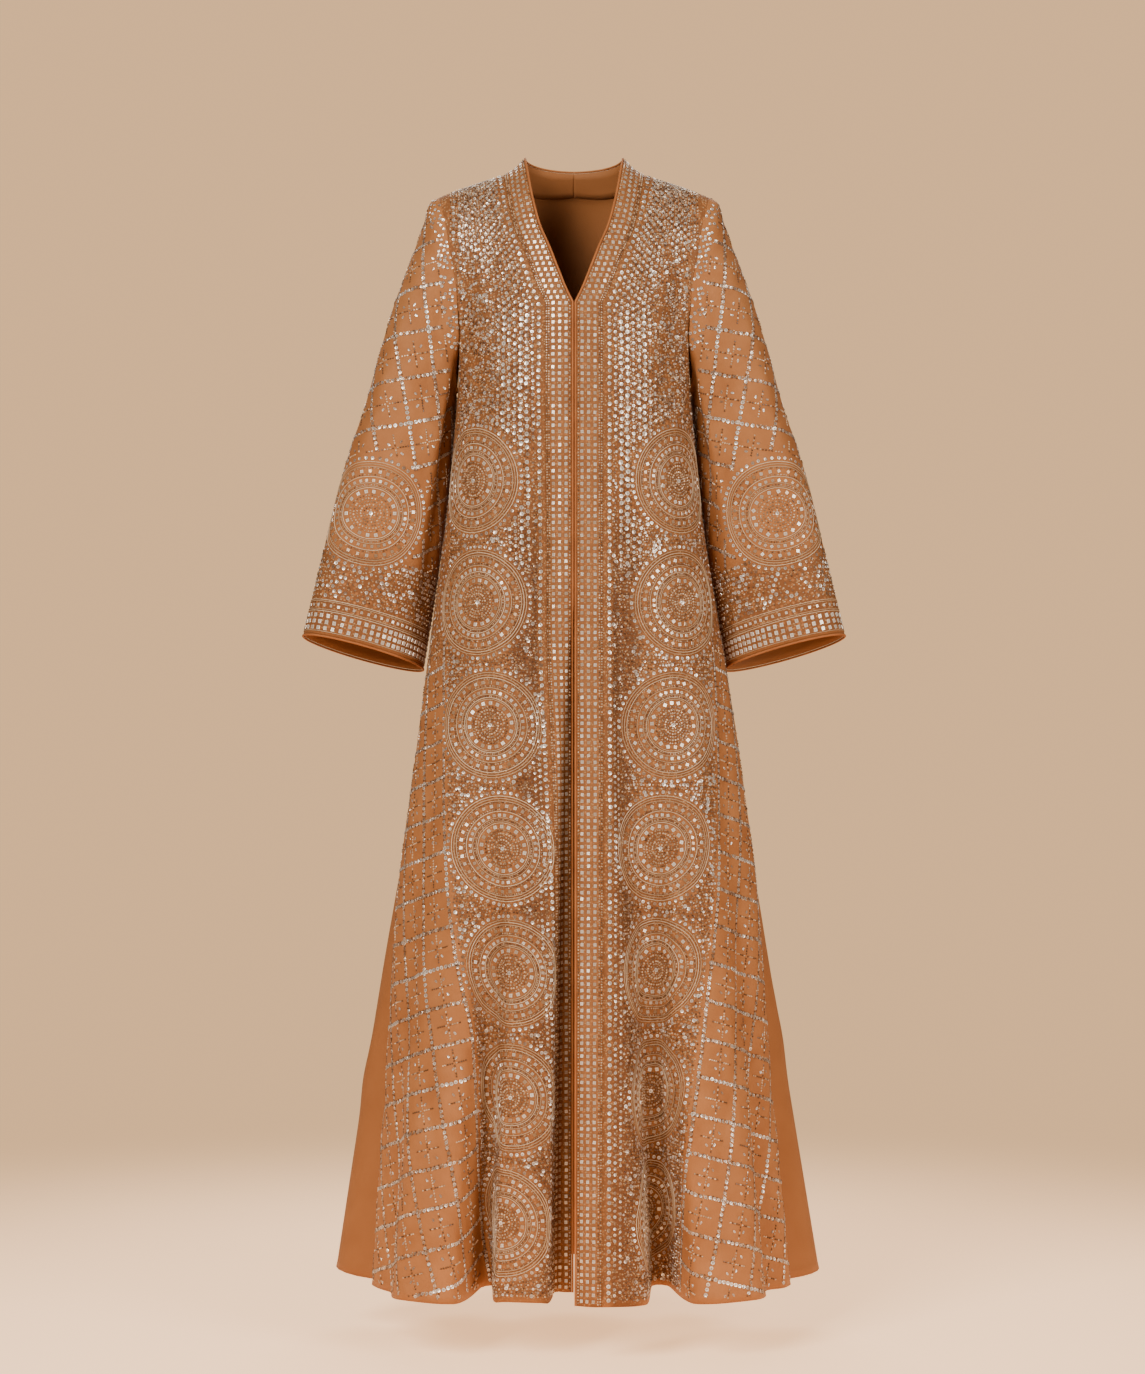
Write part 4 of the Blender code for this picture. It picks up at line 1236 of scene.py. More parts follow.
def any_turn(rng, count):
    """Turns that differ from shape to shape, in radians."""
    return rng.uniform(0, 3, count)


def loose_grid(across, down, pitch, loose, rng, staggered=False):
    """Places on a grid over a stretch across and down, each a little off its point. Staggered rows
    are set half a pitch from those beside them."""
    across, down = np.meshgrid(np.arange(*across, pitch), np.arange(*down, pitch))
    across = across + (np.arange(len(across)) % 2)[:, None] * staggered * pitch / 2
    return np.column_stack([across.ravel(), down.ravel()]) + rng.normal(0, loose, (across.size, 2))


def from_centres(places, centres):
    """How far each place is from the nearest of the centres."""
    return np.min(np.linalg.norm(places[:, None] - centres[None], axis=2), axis=1)


def on_circle(angles, radius, centre):
    """Places on a circle round a centre on the flat cloth."""
    return np.column_stack([np.cos(angles), np.sin(angles)]) * radius + centre


# A medallion is worked from its centre out, in rings of beads, mirrors, sequins and thread
MEDALLION_RINGS = [
    # kind, radius of ring, half size, pitch, dullest, brightest
    ("sequin", 0.0000, 0.0030, 0.0100, 0.80, 1.00),
    ("bead", 0.0045, 0.0013, 0.0045, 0.70, 1.00),
    ("bead", 0.0080, 0.0013, 0.0036, 0.15, 0.60),
    ("bead", 0.0115, 0.0014, 0.0036, 0.50, 1.00),
    ("bead", 0.0155, 0.0013, 0.0036, 0.15, 0.65),
    ("bead", 0.0195, 0.0014, 0.0038, 0.45, 0.95),
    ("bead", 0.0235, 0.0012, 0.0036, 0.00, 0.80),
    ("mirror", 0.0285, 0.0024, 0.0100, 0.40, 1.00),
    ("bead", 0.0372, 0.0011, 0.0034, 0.00, 0.75),
    ("mirror", 0.0430, 0.0020, 0.0077, 0.30, 1.00),
    ("bead", 0.0504, 0.0011, 0.0034, 0.00, 0.80),
    ("mirror", 0.0550, 0.0022, 0.0104, 0.00, 0.95),
    ("bead", 0.0592, 0.0010, 0.0034, 0.00, 0.75),
    ("sequin", 0.0722, 0.0025, 0.0080, 0.15, 1.00),
]
MEDALLION_THREADS = [0.0332, 0.0354, 0.0396, 0.0480, 0.0610, 0.0642, 0.0674]
MEDALLION_CLEARANCE = 0.0755
RING_LOOSE = 0.0004
LEAST_TURNED_RING = 0.004
THREAD_STEP = 0.0024
# A share of the shapes in each ring is darkened at random, and how dark they become
DARKENED_SHARE = 0.18
DARKENED_TO = 0.3


def medallion_work(centres, rng):
    """The work and the couched lines of the medallions with these middles."""
    work, lines = [], []
    for centre in centres:
        for kind, radius, half, pitch, dullest, brightest in MEDALLION_RINGS:
            count = max(round(2 * math.pi * radius / pitch), 1)
            angles = (np.arange(count) + rng.random()) * 2 * math.pi / count
            angles = angles + rng.normal(0, RING_LOOSE, count) / max(radius, LEAST_TURNED_RING)
            shade = rng.uniform(dullest, brightest, count)
            shade = np.where(rng.random(count) < DARKENED_SHARE, shade * DARKENED_TO, shade)
            work.append(stitched(kind, on_circle(angles, radius, centre), half, angles, shade))
        for radius in MEDALLION_THREADS:
            angles = np.linspace(0, 2 * math.pi, round(2 * math.pi * radius / THREAD_STEP) + 1)
            lines.append(on_circle(angles, radius, centre))
    return work, lines


LATTICE_ROW_SAMPLES = 200
LATTICE_COLUMN_SAMPLES = 400
LATTICE_PITCH = 0.0066
LATTICE_LOOSE = 0.0003
LATTICE_SMALL_HALF = 0.0025
LATTICE_SMALL_SHADES = (0.1, 0.80)
LATTICE_LARGE_HALF = 0.0029
LATTICE_LARGE_SHADES = (0.55, 0.95)
# The sequins are large where two waves along their line rise together
LATTICE_WAVES = (34, 13)
LATTICE_SHIFTS = (2.1, 1.7)
LATTICE_LARGE_ABOVE = 1.2
LATTICE_BEAD = (0.0012, 0.0011)
LATTICE_BEAD_ASIDE = 0.0018
# Tones hold the share that is dull, the dull shade and the bright shades
DARK_BEAD = 0.05
LATTICE_BEAD_TONES = (0.55, DARK_BEAD, (0.3, 0.85))
CROSS_BEAD_TONES = (0.45, DARK_BEAD, (0.4, 1.0))
CROSS_BEAD = (0.0015, 0.0012)
CROSS_BEAD_STEPS = [0.0030, 0.0064, 0.0098, 0.0132, 0.0166]
CROSS_STOPS_BEFORE_LINE = 0.004
PETAL = (0.0026, 0.0015)
PETAL_REACH = 0.0105
PETAL_LOOSE = 0.0010
PETAL_SHADES = (0.1, 0.8)
PETAL_BRIGHTER = 0.2
PETAL_BRIGHTER_SHARE = 0.3


def lattice(place, columns, rows, rng):
    """A lattice of sequin lines edged with beads, with a beaded cross and four petals in each cell.
    Place turns a column and a row, which need not be whole, into a place on the flat cloth."""
    work = []
    along_row = np.linspace(columns[0], columns[-1], LATTICE_ROW_SAMPLES)
    along_column = np.linspace(rows[0], rows[-1], LATTICE_COLUMN_SAMPLES)
    lines = [place(along_row, np.full(LATTICE_ROW_SAMPLES, float(row))) for row in rows]
    lines += [place(np.full(LATTICE_COLUMN_SAMPLES, float(column)), along_column) for column in columns]
    for number, line in enumerate(lines):
        travelled = lengths_along(line)
        distance = np.arange(0.0, travelled[-1], LATTICE_PITCH)
        count = len(distance)
        places = read_line(line, travelled, distance)
        runs = np.gradient(places, axis=0)
        runs = runs / np.linalg.norm(runs, axis=1, keepdims=True)
        waves = [distance * wave for wave in LATTICE_WAVES]
        shifts = [number * shift for shift in LATTICE_SHIFTS]
        large = np.sin(waves[0] + shifts[0]) + np.sin(waves[1] - shifts[1]) > LATTICE_LARGE_ABOVE
        places = places + rng.normal(0, LATTICE_LOOSE, places.shape)
        half = np.where(large, LATTICE_LARGE_HALF, LATTICE_SMALL_HALF)
        bright = rng.uniform(*LATTICE_LARGE_SHADES, count)
        shade = np.where(large, bright, rng.uniform(*LATTICE_SMALL_SHADES, count))
        work.append(stitched("sequin", places, half, any_turn(rng, count), shade))
        aside = runs[:, ::-1] * [-1, 1] * LATTICE_BEAD_ASIDE
        for part in (-1, 1):
            beads = places + aside * part + runs * LATTICE_PITCH / 2
            shade = two_tone(rng, count, *LATTICE_BEAD_TONES)
            work.append(stitched("bead", beads, LATTICE_BEAD, 0.0, shade, ~large))
    i, j = np.array([(i + 0.5, j + 0.5) for i in columns[:-1] for j in rows[:-1]]).T
    cells = place(i, j)
    count = len(cells)
    for sideways, downward in ((0.5, 0), (-0.5, 0), (0, 0.5), (0, -0.5)):
        arms = place(i + sideways, j + downward) - cells
        reach = np.linalg.norm(arms, axis=1, keepdims=True)
        arms = arms / reach
        turn = np.arctan2(arms[:, 1], arms[:, 0])
        for step in CROSS_BEAD_STEPS:
            kept = step < reach[:, 0] - CROSS_STOPS_BEFORE_LINE
            shade = two_tone(rng, count, *CROSS_BEAD_TONES)
            work.append(stitched("bead", cells + arms * step, CROSS_BEAD, turn, shade, kept))
        petal = turn + math.pi / 4
        tips = on_circle(petal, PETAL_REACH, cells) + rng.normal(0, PETAL_LOOSE, cells.shape)
        shade = rng.uniform(*PETAL_SHADES, count)
        shade = shade + PETAL_BRIGHTER * (rng.random(count) < PETAL_BRIGHTER_SHARE)
        work.append(stitched("sequin", tips, PETAL, petal, shade))
    return work


# ---- The work on the fronts ---------------------------------------------------------------------
# Sequins follow the neck and cover the chest, seven medallions run down beside each front edge on a
# ground of beads, and a slanted lattice covers the side. A string of beads edges each band.
WORK_ENDS_ABOVE_HEM = 0.006
WORK_ENDS_DOWN = HEM_DROP - WORK_ENDS_ABOVE_HEM
WORK_MARGIN = 0.003
BEAD_HALF = 0.0013
EDGE_COLUMNS_START = -0.02
BEAD_STRING_AT = 0.0397
BEAD_STRING_PITCH = 0.0032
BEAD_STRING_SHADES = (0.0, 0.35)
LARGE_SEQUINS_AT = 0.0460
LARGE_SEQUIN_HALF = 0.0029
LARGE_SEQUIN_PITCH = 0.0086
LARGE_SEQUIN_LOOSE = 0.0003
LARGE_SEQUIN_TONES = (0.4, (0.1, 0.5), (0.6, 1.0))
LOWER_COLUMNS_START = 0.70
LOWER_COLUMN_PITCH = 0.0075
LOWER_COLUMNS_DULLED = 1.3
LOWER_COLUMNS = [
    # beyond the large sequins, half size
    (0.0075, 0.0022),
    (0.0145, 0.0020),
]
FIRST_CHEST_COLUMN_AT = 0.0540
CHEST_COLUMN_PITCH = 0.0082
CHEST_ROW_PITCH = 0.0090
CHEST_COLUMNS = 15
CHEST_COLUMNS_STRAIGHTEN_BY = 13
CHEST_FIELD_STARTS = -0.03
CHEST_FIELD_ENDS = 0.372
CHEST_CLEARANCE = MEDALLION_CLEARANCE + 0.002
CHEST_LOOSE = 0.0005
CHEST_HALF = 0.0023
CHEST_HALF_LOOSE = 0.0002
CHEST_SHADES = (0.18, 0.88)
CHEST_BEAD_TONES = (0.42, DARK_BEAD, (0.30, 0.95))
BUST_STREAKS = [
    # across, half width
    (0.068, 0.010),
    (0.093, 0.008),
]
# Down the cloth: where the streaks begin and end, and over how far
BUST_FROM = (0.17, 0.05)
BUST_TO = (0.46, 0.08)
BUST_LARGER = 0.0009
BUST_BRIGHTER = 0.62
BUST_LEFT_DULL = 0.22
# The duller place on the shoulder: its middle, and how wide it is on each side
SHOULDER_ACROSS = (0.150, 0.032)
SHOULDER_DOWN = (0.020, 0.060)
SHOULDER_LARGER = 0.0001
SHOULDER_DULLER = 0.40
CHEST_THINNED = 0.45
# Where the work begins to thin out, and over how far
THINNED_ACROSS = (0.095, 0.03)
THINNED_DOWN = (0.09, 0.05)
CHEST_BEADS_AT = [(0.5, 0.30), (0.5, 0.75), (0.0, 0.5)]
TONGUE_ACROSS = (0.060, 0.088)
TONGUE_ENDS = 0.53
GROUND_ACROSS = (0.050, 0.240)
GROUND_DOWN = (0.10, WORK_ENDS_DOWN)
GROUND_PITCH = 0.0044
GROUND_LOOSE = 0.0006
GROUND_SMALL_FROM = 0.74
GROUND_LARGE_FROM = 0.94
GROUND_SMALL_HALF = 0.0019
GROUND_LARGE_HALF = 0.0028
GROUND_THINNED = 0.55
GROUND_DULL_SHARE = 0.50
GROUND_BEAD_SHADES = ((0.0, 0.20), (0.30, 0.90))
GROUND_FOIL_SHADES = (0.1, 0.9)
# In the hollow beside the band, more beads are dark and the sequins duller: partly brown beads, partly
# painted shade of the trough
HOLLOW_SHADE_DULL_SHARE = 0.25
HOLLOW_SHADE_DULLS_FOIL = 0.75
GROUND_FROM_EDGE = 0.0505
GROUND_FROM_CHEST = 0.004
GROUND_FROM_LATTICE = 0.006
LOWER_GROUND = (0.72, 0.064)
UPPER_SIDE_ACROSS = (0.10, 0.34)
UPPER_SIDE_DOWN = (0.36, LATTICE_TOP)
UPPER_SIDE_PITCH = 0.0088
UPPER_SIDE_LOOSE = 0.0012
UPPER_SIDE_FROM = 0.200
UPPER_SIDE_CLEARANCE = MEDALLION_CLEARANCE + 0.004
UPPER_SIDE_HALF = 0.0020
UPPER_SIDE_SHADES = (0.2, 0.9)
FRONT_LATTICE_COLUMNS = range(-1, 7)
FRONT_LATTICE_ROWS = range(-2, 21)
FRONT_LATTICE_MARGIN = 0.005
FRONT_LATTICE_CLEARANCE = MEDALLION_CLEARANCE + 0.001
FRONT_LATTICE_PAST_EDGE = 0.003
FRONT_LATTICE_RISE = 0.25
FRONT_LATTICE_TOP = 0.613
FRONT_LATTICE_ROW_GAP = 0.0475
FRONT_LATTICE_COLUMN_GAP = [
    # down, gap
    (0.60, 0.042),
    (0.95, 0.050),
    (1.10, 0.056),
    (1.25, 0.060),
    (1.47, 0.064),
]


def thinned(places):
    """How far the chest's work thins out, towards the side and below the shoulder."""
    across, down = places.T
    return risen(across, *THINNED_ACROSS) * risen(down, *THINNED_DOWN)


def edge_columns(edge_across, rng):
    """The bead string and the large sequins that run beside the band, and the columns next to them."""

    def column(start, pitch, aside):
        down = np.arange(start, WORK_ENDS_DOWN, pitch)
        return np.column_stack([edge_across(down) + aside, down])

    places = column(EDGE_COLUMNS_START, BEAD_STRING_PITCH, BEAD_STRING_AT)
    shade = rng.uniform(*BEAD_STRING_SHADES, len(places))
    work = [stitched("bead", places, BEAD_HALF, 0.0, shade)]
    places = column(EDGE_COLUMNS_START, LARGE_SEQUIN_PITCH, LARGE_SEQUINS_AT)
    places = places + rng.normal(0, LARGE_SEQUIN_LOOSE, places.shape)
    shade = two_tone(rng, len(places), *LARGE_SEQUIN_TONES)
    work.append(stitched("sequin", places, LARGE_SEQUIN_HALF, any_turn(rng, len(places)), shade))
    for step, half in LOWER_COLUMNS:
        places = column(LOWER_COLUMNS_START, LOWER_COLUMN_PITCH, LARGE_SEQUINS_AT) + [step, step / 2]
        shade = rng.uniform(0.0, 1.0, len(places)) ** LOWER_COLUMNS_DULLED
        work.append(stitched("sequin", places, half, any_turn(rng, len(places)), shade))
    return work


def chest_field(edge_across, centres, rng):
    """Sequins in columns that follow the neck, each row set between those beside it. They are
    largest and brightest in two streaks over the bust."""
    work = []
    for number in range(CHEST_COLUMNS):
        down = np.arange(CHEST_FIELD_STARTS, TONGUE_ENDS, CHEST_ROW_PITCH)
        down = down + (number % 2) * CHEST_ROW_PITCH / 2
        count = len(down)
        follows = max(1 - number / CHEST_COLUMNS_STRAIGHTEN_BY, 0.0)
        across = edge_across(down) * follows + FIRST_CHEST_COLUMN_AT + number * CHEST_COLUMN_PITCH
        places = np.column_stack([across, down]) + rng.normal(0, CHEST_LOOSE, (count, 2))
        streak = sum(bump(places[:, 0], *streak) for streak in BUST_STREAKS)
        bust = streak * risen(down, *BUST_FROM) * (1 - risen(down, *BUST_TO))
        shoulder = bump(places[:, 0], *SHOULDER_ACROSS) * bump(places[:, 1], *SHOULDER_DOWN)
        half = CHEST_HALF + BUST_LARGER * bust + SHOULDER_LARGER * shoulder
        half = half + rng.normal(0, CHEST_HALF_LOOSE, count)
        shade = rng.uniform(*CHEST_SHADES, count)
        shade = shade + BUST_BRIGHTER * bust * (rng.random(count) > BUST_LEFT_DULL)
        shade = np.clip(shade - SHOULDER_DULLER * shoulder * rng.random(count), 0, 1)
        tongue = (across > TONGUE_ACROSS[0]) & (across < TONGUE_ACROSS[1])
        kept = (down < CHEST_FIELD_ENDS) | tongue
        kept &= from_centres(places, centres) > CHEST_CLEARANCE
        kept &= rng.random(count) > CHEST_THINNED * thinned(places)
        work.append(stitched("sequin", places, half, any_turn(rng, count), shade, kept))
        for sideways, downward in CHEST_BEADS_AT:
            beads = places + [sideways * CHEST_COLUMN_PITCH, downward * CHEST_ROW_PITCH]
            shade = two_tone(rng, count, *CHEST_BEAD_TONES)
            work.append(stitched("bead", beads, BEAD_HALF, 0.0, shade, kept))
    return work


def ground(centres, edge_across, lattice_edge, rng):
    """Beads and small sequins scattered closely over the ground round the medallions."""
    places = loose_grid(GROUND_ACROSS, GROUND_DOWN, GROUND_PITCH, GROUND_LOOSE, rng, True)
    across, down = places.T
    clear = from_centres(places, centres) > MEDALLION_CLEARANCE
    clear &= across > edge_across(down) + GROUND_FROM_EDGE
    clear &= (down < LOWER_GROUND[0]) | (across > edge_across(down) + LOWER_GROUND[1])
    chest = rng.random(len(places)) > GROUND_THINNED * thinned(places)
    chest &= down < CHEST_FIELD_ENDS + GROUND_FROM_CHEST
    tongue = across > TONGUE_ACROSS[0] - GROUND_FROM_CHEST
    tongue &= across < TONGUE_ACROSS[1] + GROUND_FROM_CHEST
    clear &= ~(chest | (tongue & (down < TONGUE_ENDS)))
    from_lattice = np.where(down < LATTICE_TOP, 0.0, GROUND_FROM_LATTICE)
    clear &= across < read_table(lattice_edge, 1, down) - from_lattice
    places = places[clear]
    across, down = places.T
    pick = rng.random(len(places))
    large = pick >= GROUND_LARGE_FROM
    beads = pick < GROUND_SMALL_FROM
    small = ~beads & ~large
    # In the hollow beside the band, more beads are dark and the sequins are dulled: partly brown beads,
    # partly painted shade of the fold's trough
    beyond = risen(across - edge_across(down), HOLLOW_FROM_EDGE[1], HOLLOW_SOFT[1])
    hollow = risen(down, CHEST_FADES_FROM, UPPER_FADES_OVER) * (1 - beyond)
    dull_share = GROUND_DULL_SHARE + HOLLOW_SHADE_DULL_SHARE * hollow
    tone = two_tone(rng, len(places), dull_share, *GROUND_BEAD_SHADES)
    foil = rng.uniform(*GROUND_FOIL_SHADES, len(places)) * (1 - HOLLOW_SHADE_DULLS_FOIL * hollow)
    return [
        stitched("bead", places, BEAD_HALF, 0.0, tone, beads),
        stitched("sequin", places, GROUND_SMALL_HALF, 0.0, foil, small),
        stitched("sequin", places, GROUND_LARGE_HALF, 0.0, np.sqrt(foil), large),
    ]


def upper_side_ground(centres, rng):
    """Small sequins on a loose grid above the lattice, where the side passes under the sleeve."""
    places = loose_grid(UPPER_SIDE_ACROSS, UPPER_SIDE_DOWN, UPPER_SIDE_PITCH, UPPER_SIDE_LOOSE, rng)
    places = places[from_centres(places, centres) > UPPER_SIDE_CLEARANCE]
    places = places[places[:, 0] > UPPER_SIDE_FROM]
    shade = rng.uniform(*UPPER_SIDE_SHADES, len(places))
    return [stitched("sequin", places, UPPER_SIDE_HALF, 0.0, shade)]


for hand, seed in (("left", 11), ("right", 23)):
    name = "front_" + hand
    rng = np.random.default_rng(seed)
    edge_downs, edge_places = np.array(neck_edges[hand]).T
    outline = outline_of(flats[name])
    centres = np.array(MEDALLION_CENTRES[hand])

    def edge_across(down):
        return np.interp(down, edge_downs, edge_places)

    def on_lattice(column, row):
        """The place of a column and a row: the columns fan out with the flare of the side."""
        down = FRONT_LATTICE_TOP + row * FRONT_LATTICE_ROW_GAP
        aside = column * read_table(FRONT_LATTICE_COLUMN_GAP, 1, down)
        across = read_table(LATTICE_EDGE[hand], 1, down) + aside
        return np.column_stack([across, down + aside * FRONT_LATTICE_RISE])

    def above_hem_turn(places):
        return places[:, 1] < WORK_ENDS_DOWN

    def on_the_side(places):
        across, down = places.T
        clear = from_centres(places, centres) > FRONT_LATTICE_CLEARANCE
        clear &= across > read_table(LATTICE_EDGE[hand], 1, down) - FRONT_LATTICE_PAST_EDGE
        return clear & (down > LATTICE_TOP) & above_hem_turn(places)

    work = [
        *edge_columns(edge_across, rng),
        *chest_field(edge_across, centres, rng),
        *ground(centres, edge_across, LATTICE_EDGE[hand], rng),
        *upper_side_ground(centres, rng),
    ]
    rings, lines = medallion_work(centres, rng)
    side_lattice = lattice(on_lattice, FRONT_LATTICE_COLUMNS, FRONT_LATTICE_ROWS, rng)
    front_work = gathered([*work, *rings], outline, WORK_MARGIN, above_hem_turn)
    side_work = gathered(side_lattice, outline, FRONT_LATTICE_MARGIN, on_the_side)
    worked_over(name, front_work, side_work, lines, seed)

# ---- The work on the bands ----------------------------------------------------------------------
# Three columns of square mirrors and three strings of pale beads run the whole length of each band,
# round the neck too. They are sewn to its outer layer before the band is folded.
BAND_MIRROR_COLUMNS = [0.0068, 0.0151, 0.0235]
BAND_BEAD_COLUMNS = [
    # across, pitch
    (0.0022, 0.0040),
    (0.0292, 0.0034),
    (0.0322, 0.0034),
]
MIRROR_PITCH = 0.0083
FIRST_MIRROR_AT = MIRROR_PITCH * 0.8
BAND_MIRROR_HALF = (0.0020, 0.0022)
BAND_MIRROR_LOOSE = 0.00015
BAND_MIRROR_TURNED = 0.05
BAND_MIRROR_SHADES = (0.20, 0.80)
BAND_BEAD_HALF = 0.0012
BAND_BEAD_TONES = (0.3, 0.08, (0.3, 0.9))
BAND_MARGIN = 0.001

for hand, seed in (("left", 31), ("right", 43)):
    name = "band_" + hand
    rng = np.random.default_rng(seed)
    length = flats[name][..., 1].max()
    work = []
    upward = np.arange(FIRST_MIRROR_AT, length, MIRROR_PITCH)
    for column in BAND_MIRROR_COLUMNS:
        places = np.column_stack([np.full(len(upward), column), upward])
        places = places + rng.normal(0, BAND_MIRROR_LOOSE, places.shape)
        shade = rng.uniform(*BAND_MIRROR_SHADES, len(upward))
        turn = rng.normal(0, BAND_MIRROR_TURNED, len(upward))
        work.append(stitched("mirror", places, BAND_MIRROR_HALF, turn, shade))
    for column, pitch in BAND_BEAD_COLUMNS:
        beads = np.arange(pitch, length, pitch)
        places = np.column_stack([np.full(len(beads), column), beads])
        shade = two_tone(rng, len(beads), *BAND_BEAD_TONES)
        work.append(stitched("bead", places, BAND_BEAD_HALF, 0.0, shade))
    kept = gathered(work, outline_of(flats[name]), BAND_MARGIN)
    [sew(name, kind, kept[kind], seed) for kind in ("mirror", "bead")]

# ---- The work on the sleeves --------------------------------------------------------------------
# A slanted lattice covers each sleeve, with a medallion before and behind above the cuff. The cuff
# is worked on the sleeve itself: four rows of square mirrors between couched threads.
LATTICE_SLANT = math.radians(23.2)
SLEEVE_LATTICE_ORIGIN = (0.012, 0.180)
SLEEVE_LATTICE_ROW_GAP = 0.058
SLEEVE_LATTICE_COLUMN_GAP = 0.045
SLEEVE_LATTICE_COLUMNS = range(-8, 13)
SLEEVE_LATTICE_ROWS = range(-7, 9)
SLEEVE_LATTICE_MARGIN = 0.004
SLEEVE_LATTICE_CLEARANCE = MEDALLION_CLEARANCE + 0.004
CUFF_MIRROR_ROWS = [
    # above the hem, half size
    (0.0088, 0.0027),
    (0.0171, 0.0027),
    (0.0254, 0.0027),
    (0.0390, 0.0019),
]
CUFF_THREAD_ROWS = [0.0045, 0.0312, 0.0335, 0.0440, 0.0462]
CUFF_MIRROR_SLIMMER = 0.9
CUFF_MIRROR_SHADES = (0.5, 1.0)
CUFF_TOP = 0.050
SLEEVE_HEAD_ACROSS = (-0.13, 0.34)
SLEEVE_HEAD_DOWN = (-0.01, 0.20)
SLEEVE_HEAD_WORKED = 0.022
SLEEVE_HEAD_PITCH = 0.0066
SLEEVE_HEAD_LOOSE = 0.0010
SLEEVE_HEAD_KEPT = 0.75
SLEEVE_HEAD_HALF = (0.0018, 0.0026)
SLEEVE_HEAD_SHADES = (0.15, 1.0)
SLEEVE_GROUND_TOP = 0.118
SLEEVE_GROUND_ACROSS = (-0.14, 0.36)
SLEEVE_GROUND_HEIGHTS = (CUFF_TOP + 0.003, SLEEVE_GROUND_TOP)
SLEEVE_GROUND_PITCH = 0.0062
SLEEVE_GROUND_LOOSE = 0.0005
SLEEVE_GROUND_SEQUINS = 0.46
SLEEVE_GROUND_HALF = (0.0022, 0.0030)
SLEEVE_GROUND_TONES = (0.35, (0.0, 0.3), (0.4, 1.0))
SLEEVE_MARGIN = 0.0012

for hand, seed in (("left", 51), ("right", 67)):
    name = "sleeve_" + hand
    rng = np.random.default_rng(seed)
    flat = flats[name]
    outline = outline_of(flat)
    hem_across, hem_down = flat[-1][np.argsort(flat[-1][:, 0])].T
    centres = np.array([SLEEVE_MEDALLION, (2 * SLEEVE_FOLD - SLEEVE_MEDALLION[0], SLEEVE_MEDALLION[1])])

    def hem_at(across):
        return np.interp(across, hem_across, hem_down)

    def on_lattice(column, row):
        run, rise = math.cos(LATTICE_SLANT), math.sin(LATTICE_SLANT)
        across = column * SLEEVE_LATTICE_COLUMN_GAP * np.array([[run], [rise]])
        down = row * SLEEVE_LATTICE_ROW_GAP * np.array([[-rise], [run]])
        return (across + down).T + SLEEVE_LATTICE_ORIGIN

    def upper_sleeve(places):
        clear = from_centres(places, centres) > SLEEVE_LATTICE_CLEARANCE
        clear &= from_centres(places, flat[0]) > SLEEVE_HEAD_WORKED
        return clear & (hem_at(places[:, 0]) - places[:, 1] > SLEEVE_GROUND_TOP)

    work, lines = medallion_work(centres, rng)
    places = loose_grid(SLEEVE_HEAD_ACROSS, SLEEVE_HEAD_DOWN, SLEEVE_HEAD_PITCH, SLEEVE_HEAD_LOOSE, rng)
    near_armhole = from_centres(places, flat[0]) < SLEEVE_HEAD_WORKED
    places = places[near_armhole & (rng.random(len(places)) < SLEEVE_HEAD_KEPT)]
    size = rng.uniform(*SLEEVE_HEAD_HALF, len(places))
    work.append(stitched("sequin", places, size, 0.0, rng.uniform(*SLEEVE_HEAD_SHADES, len(places))))
    sleeve_lattice = lattice(on_lattice, SLEEVE_LATTICE_COLUMNS, SLEEVE_LATTICE_ROWS, rng)
    places = loose_grid(
        SLEEVE_GROUND_ACROSS, SLEEVE_GROUND_HEIGHTS, SLEEVE_GROUND_PITCH, SLEEVE_GROUND_LOOSE, rng, True
    )
    places[:, 1] = hem_at(places[:, 0]) - places[:, 1]
    places = places[from_centres(places, centres) > MEDALLION_CLEARANCE]
    foil = rng.random(len(places)) < SLEEVE_GROUND_SEQUINS
    tone = two_tone(rng, len(places), *SLEEVE_GROUND_TONES)
    size = rng.uniform(*SLEEVE_GROUND_HALF, len(places))
    work.append(stitched("sequin", places, size, 0.0, tone, foil))
    work.append(stitched("bead", places, BEAD_HALF, 0.0, tone, ~foil))
    round_hem = np.arange(hem_across[0], hem_across[-1], MIRROR_PITCH)
    turn = np.interp(round_hem, hem_across, np.arctan(np.gradient(hem_down, hem_across)))
    for row, half in CUFF_MIRROR_ROWS:
        places = np.column_stack([round_hem, hem_at(round_hem) - row])
        shade = rng.uniform(*CUFF_MIRROR_SHADES, len(places))
        work.append(stitched("mirror", places, (half * CUFF_MIRROR_SLIMMER, half), turn, shade))
    round_hem = np.arange(hem_across[0], hem_across[-1], THREAD_STEP)
    lines += [np.column_stack([round_hem, hem_at(round_hem) - row]) for row in CUFF_THREAD_ROWS]
    sleeve_work = gathered(work, outline, SLEEVE_MARGIN)
    upper_work = gathered(sleeve_lattice, outline, SLEEVE_LATTICE_MARGIN, upper_sleeve)
    worked_over(name, sleeve_work, upper_work, lines, seed)

for hand in ("left", "right"):
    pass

# ---- Camera, floor and light -------------------------------------------------------------------
# A level camera in front of the cloak, a plain pale floor that fades out into the background, and
# soft studio light from the left, the right and behind.
IMAGE_HEIGHT_PX = 1374
FOCAL_LENGTH_PX = 3343
SENSOR_WIDTH = 36.0
CAMERA_DISTANCE = 4.4
CAMERA_HEIGHT = -0.687
CAMERA_OUT = -0.002
FLOOR_DROP = 1.54
FLOOR_RADIUS = 3.6
BACKGROUND_COLOR = (1.065, 0.628, 0.303)
STUDIO_LIGHT = (0.62, 0.52, 0.42)
STUDIO_STRENGTH = 0.25
FLOOR_COLOR = (0.86, 0.63, 0.45)
FLOOR_GLOW = (2.90, 1.60, 0.76)
FLOOR_FADE = (0.45, 2.30)

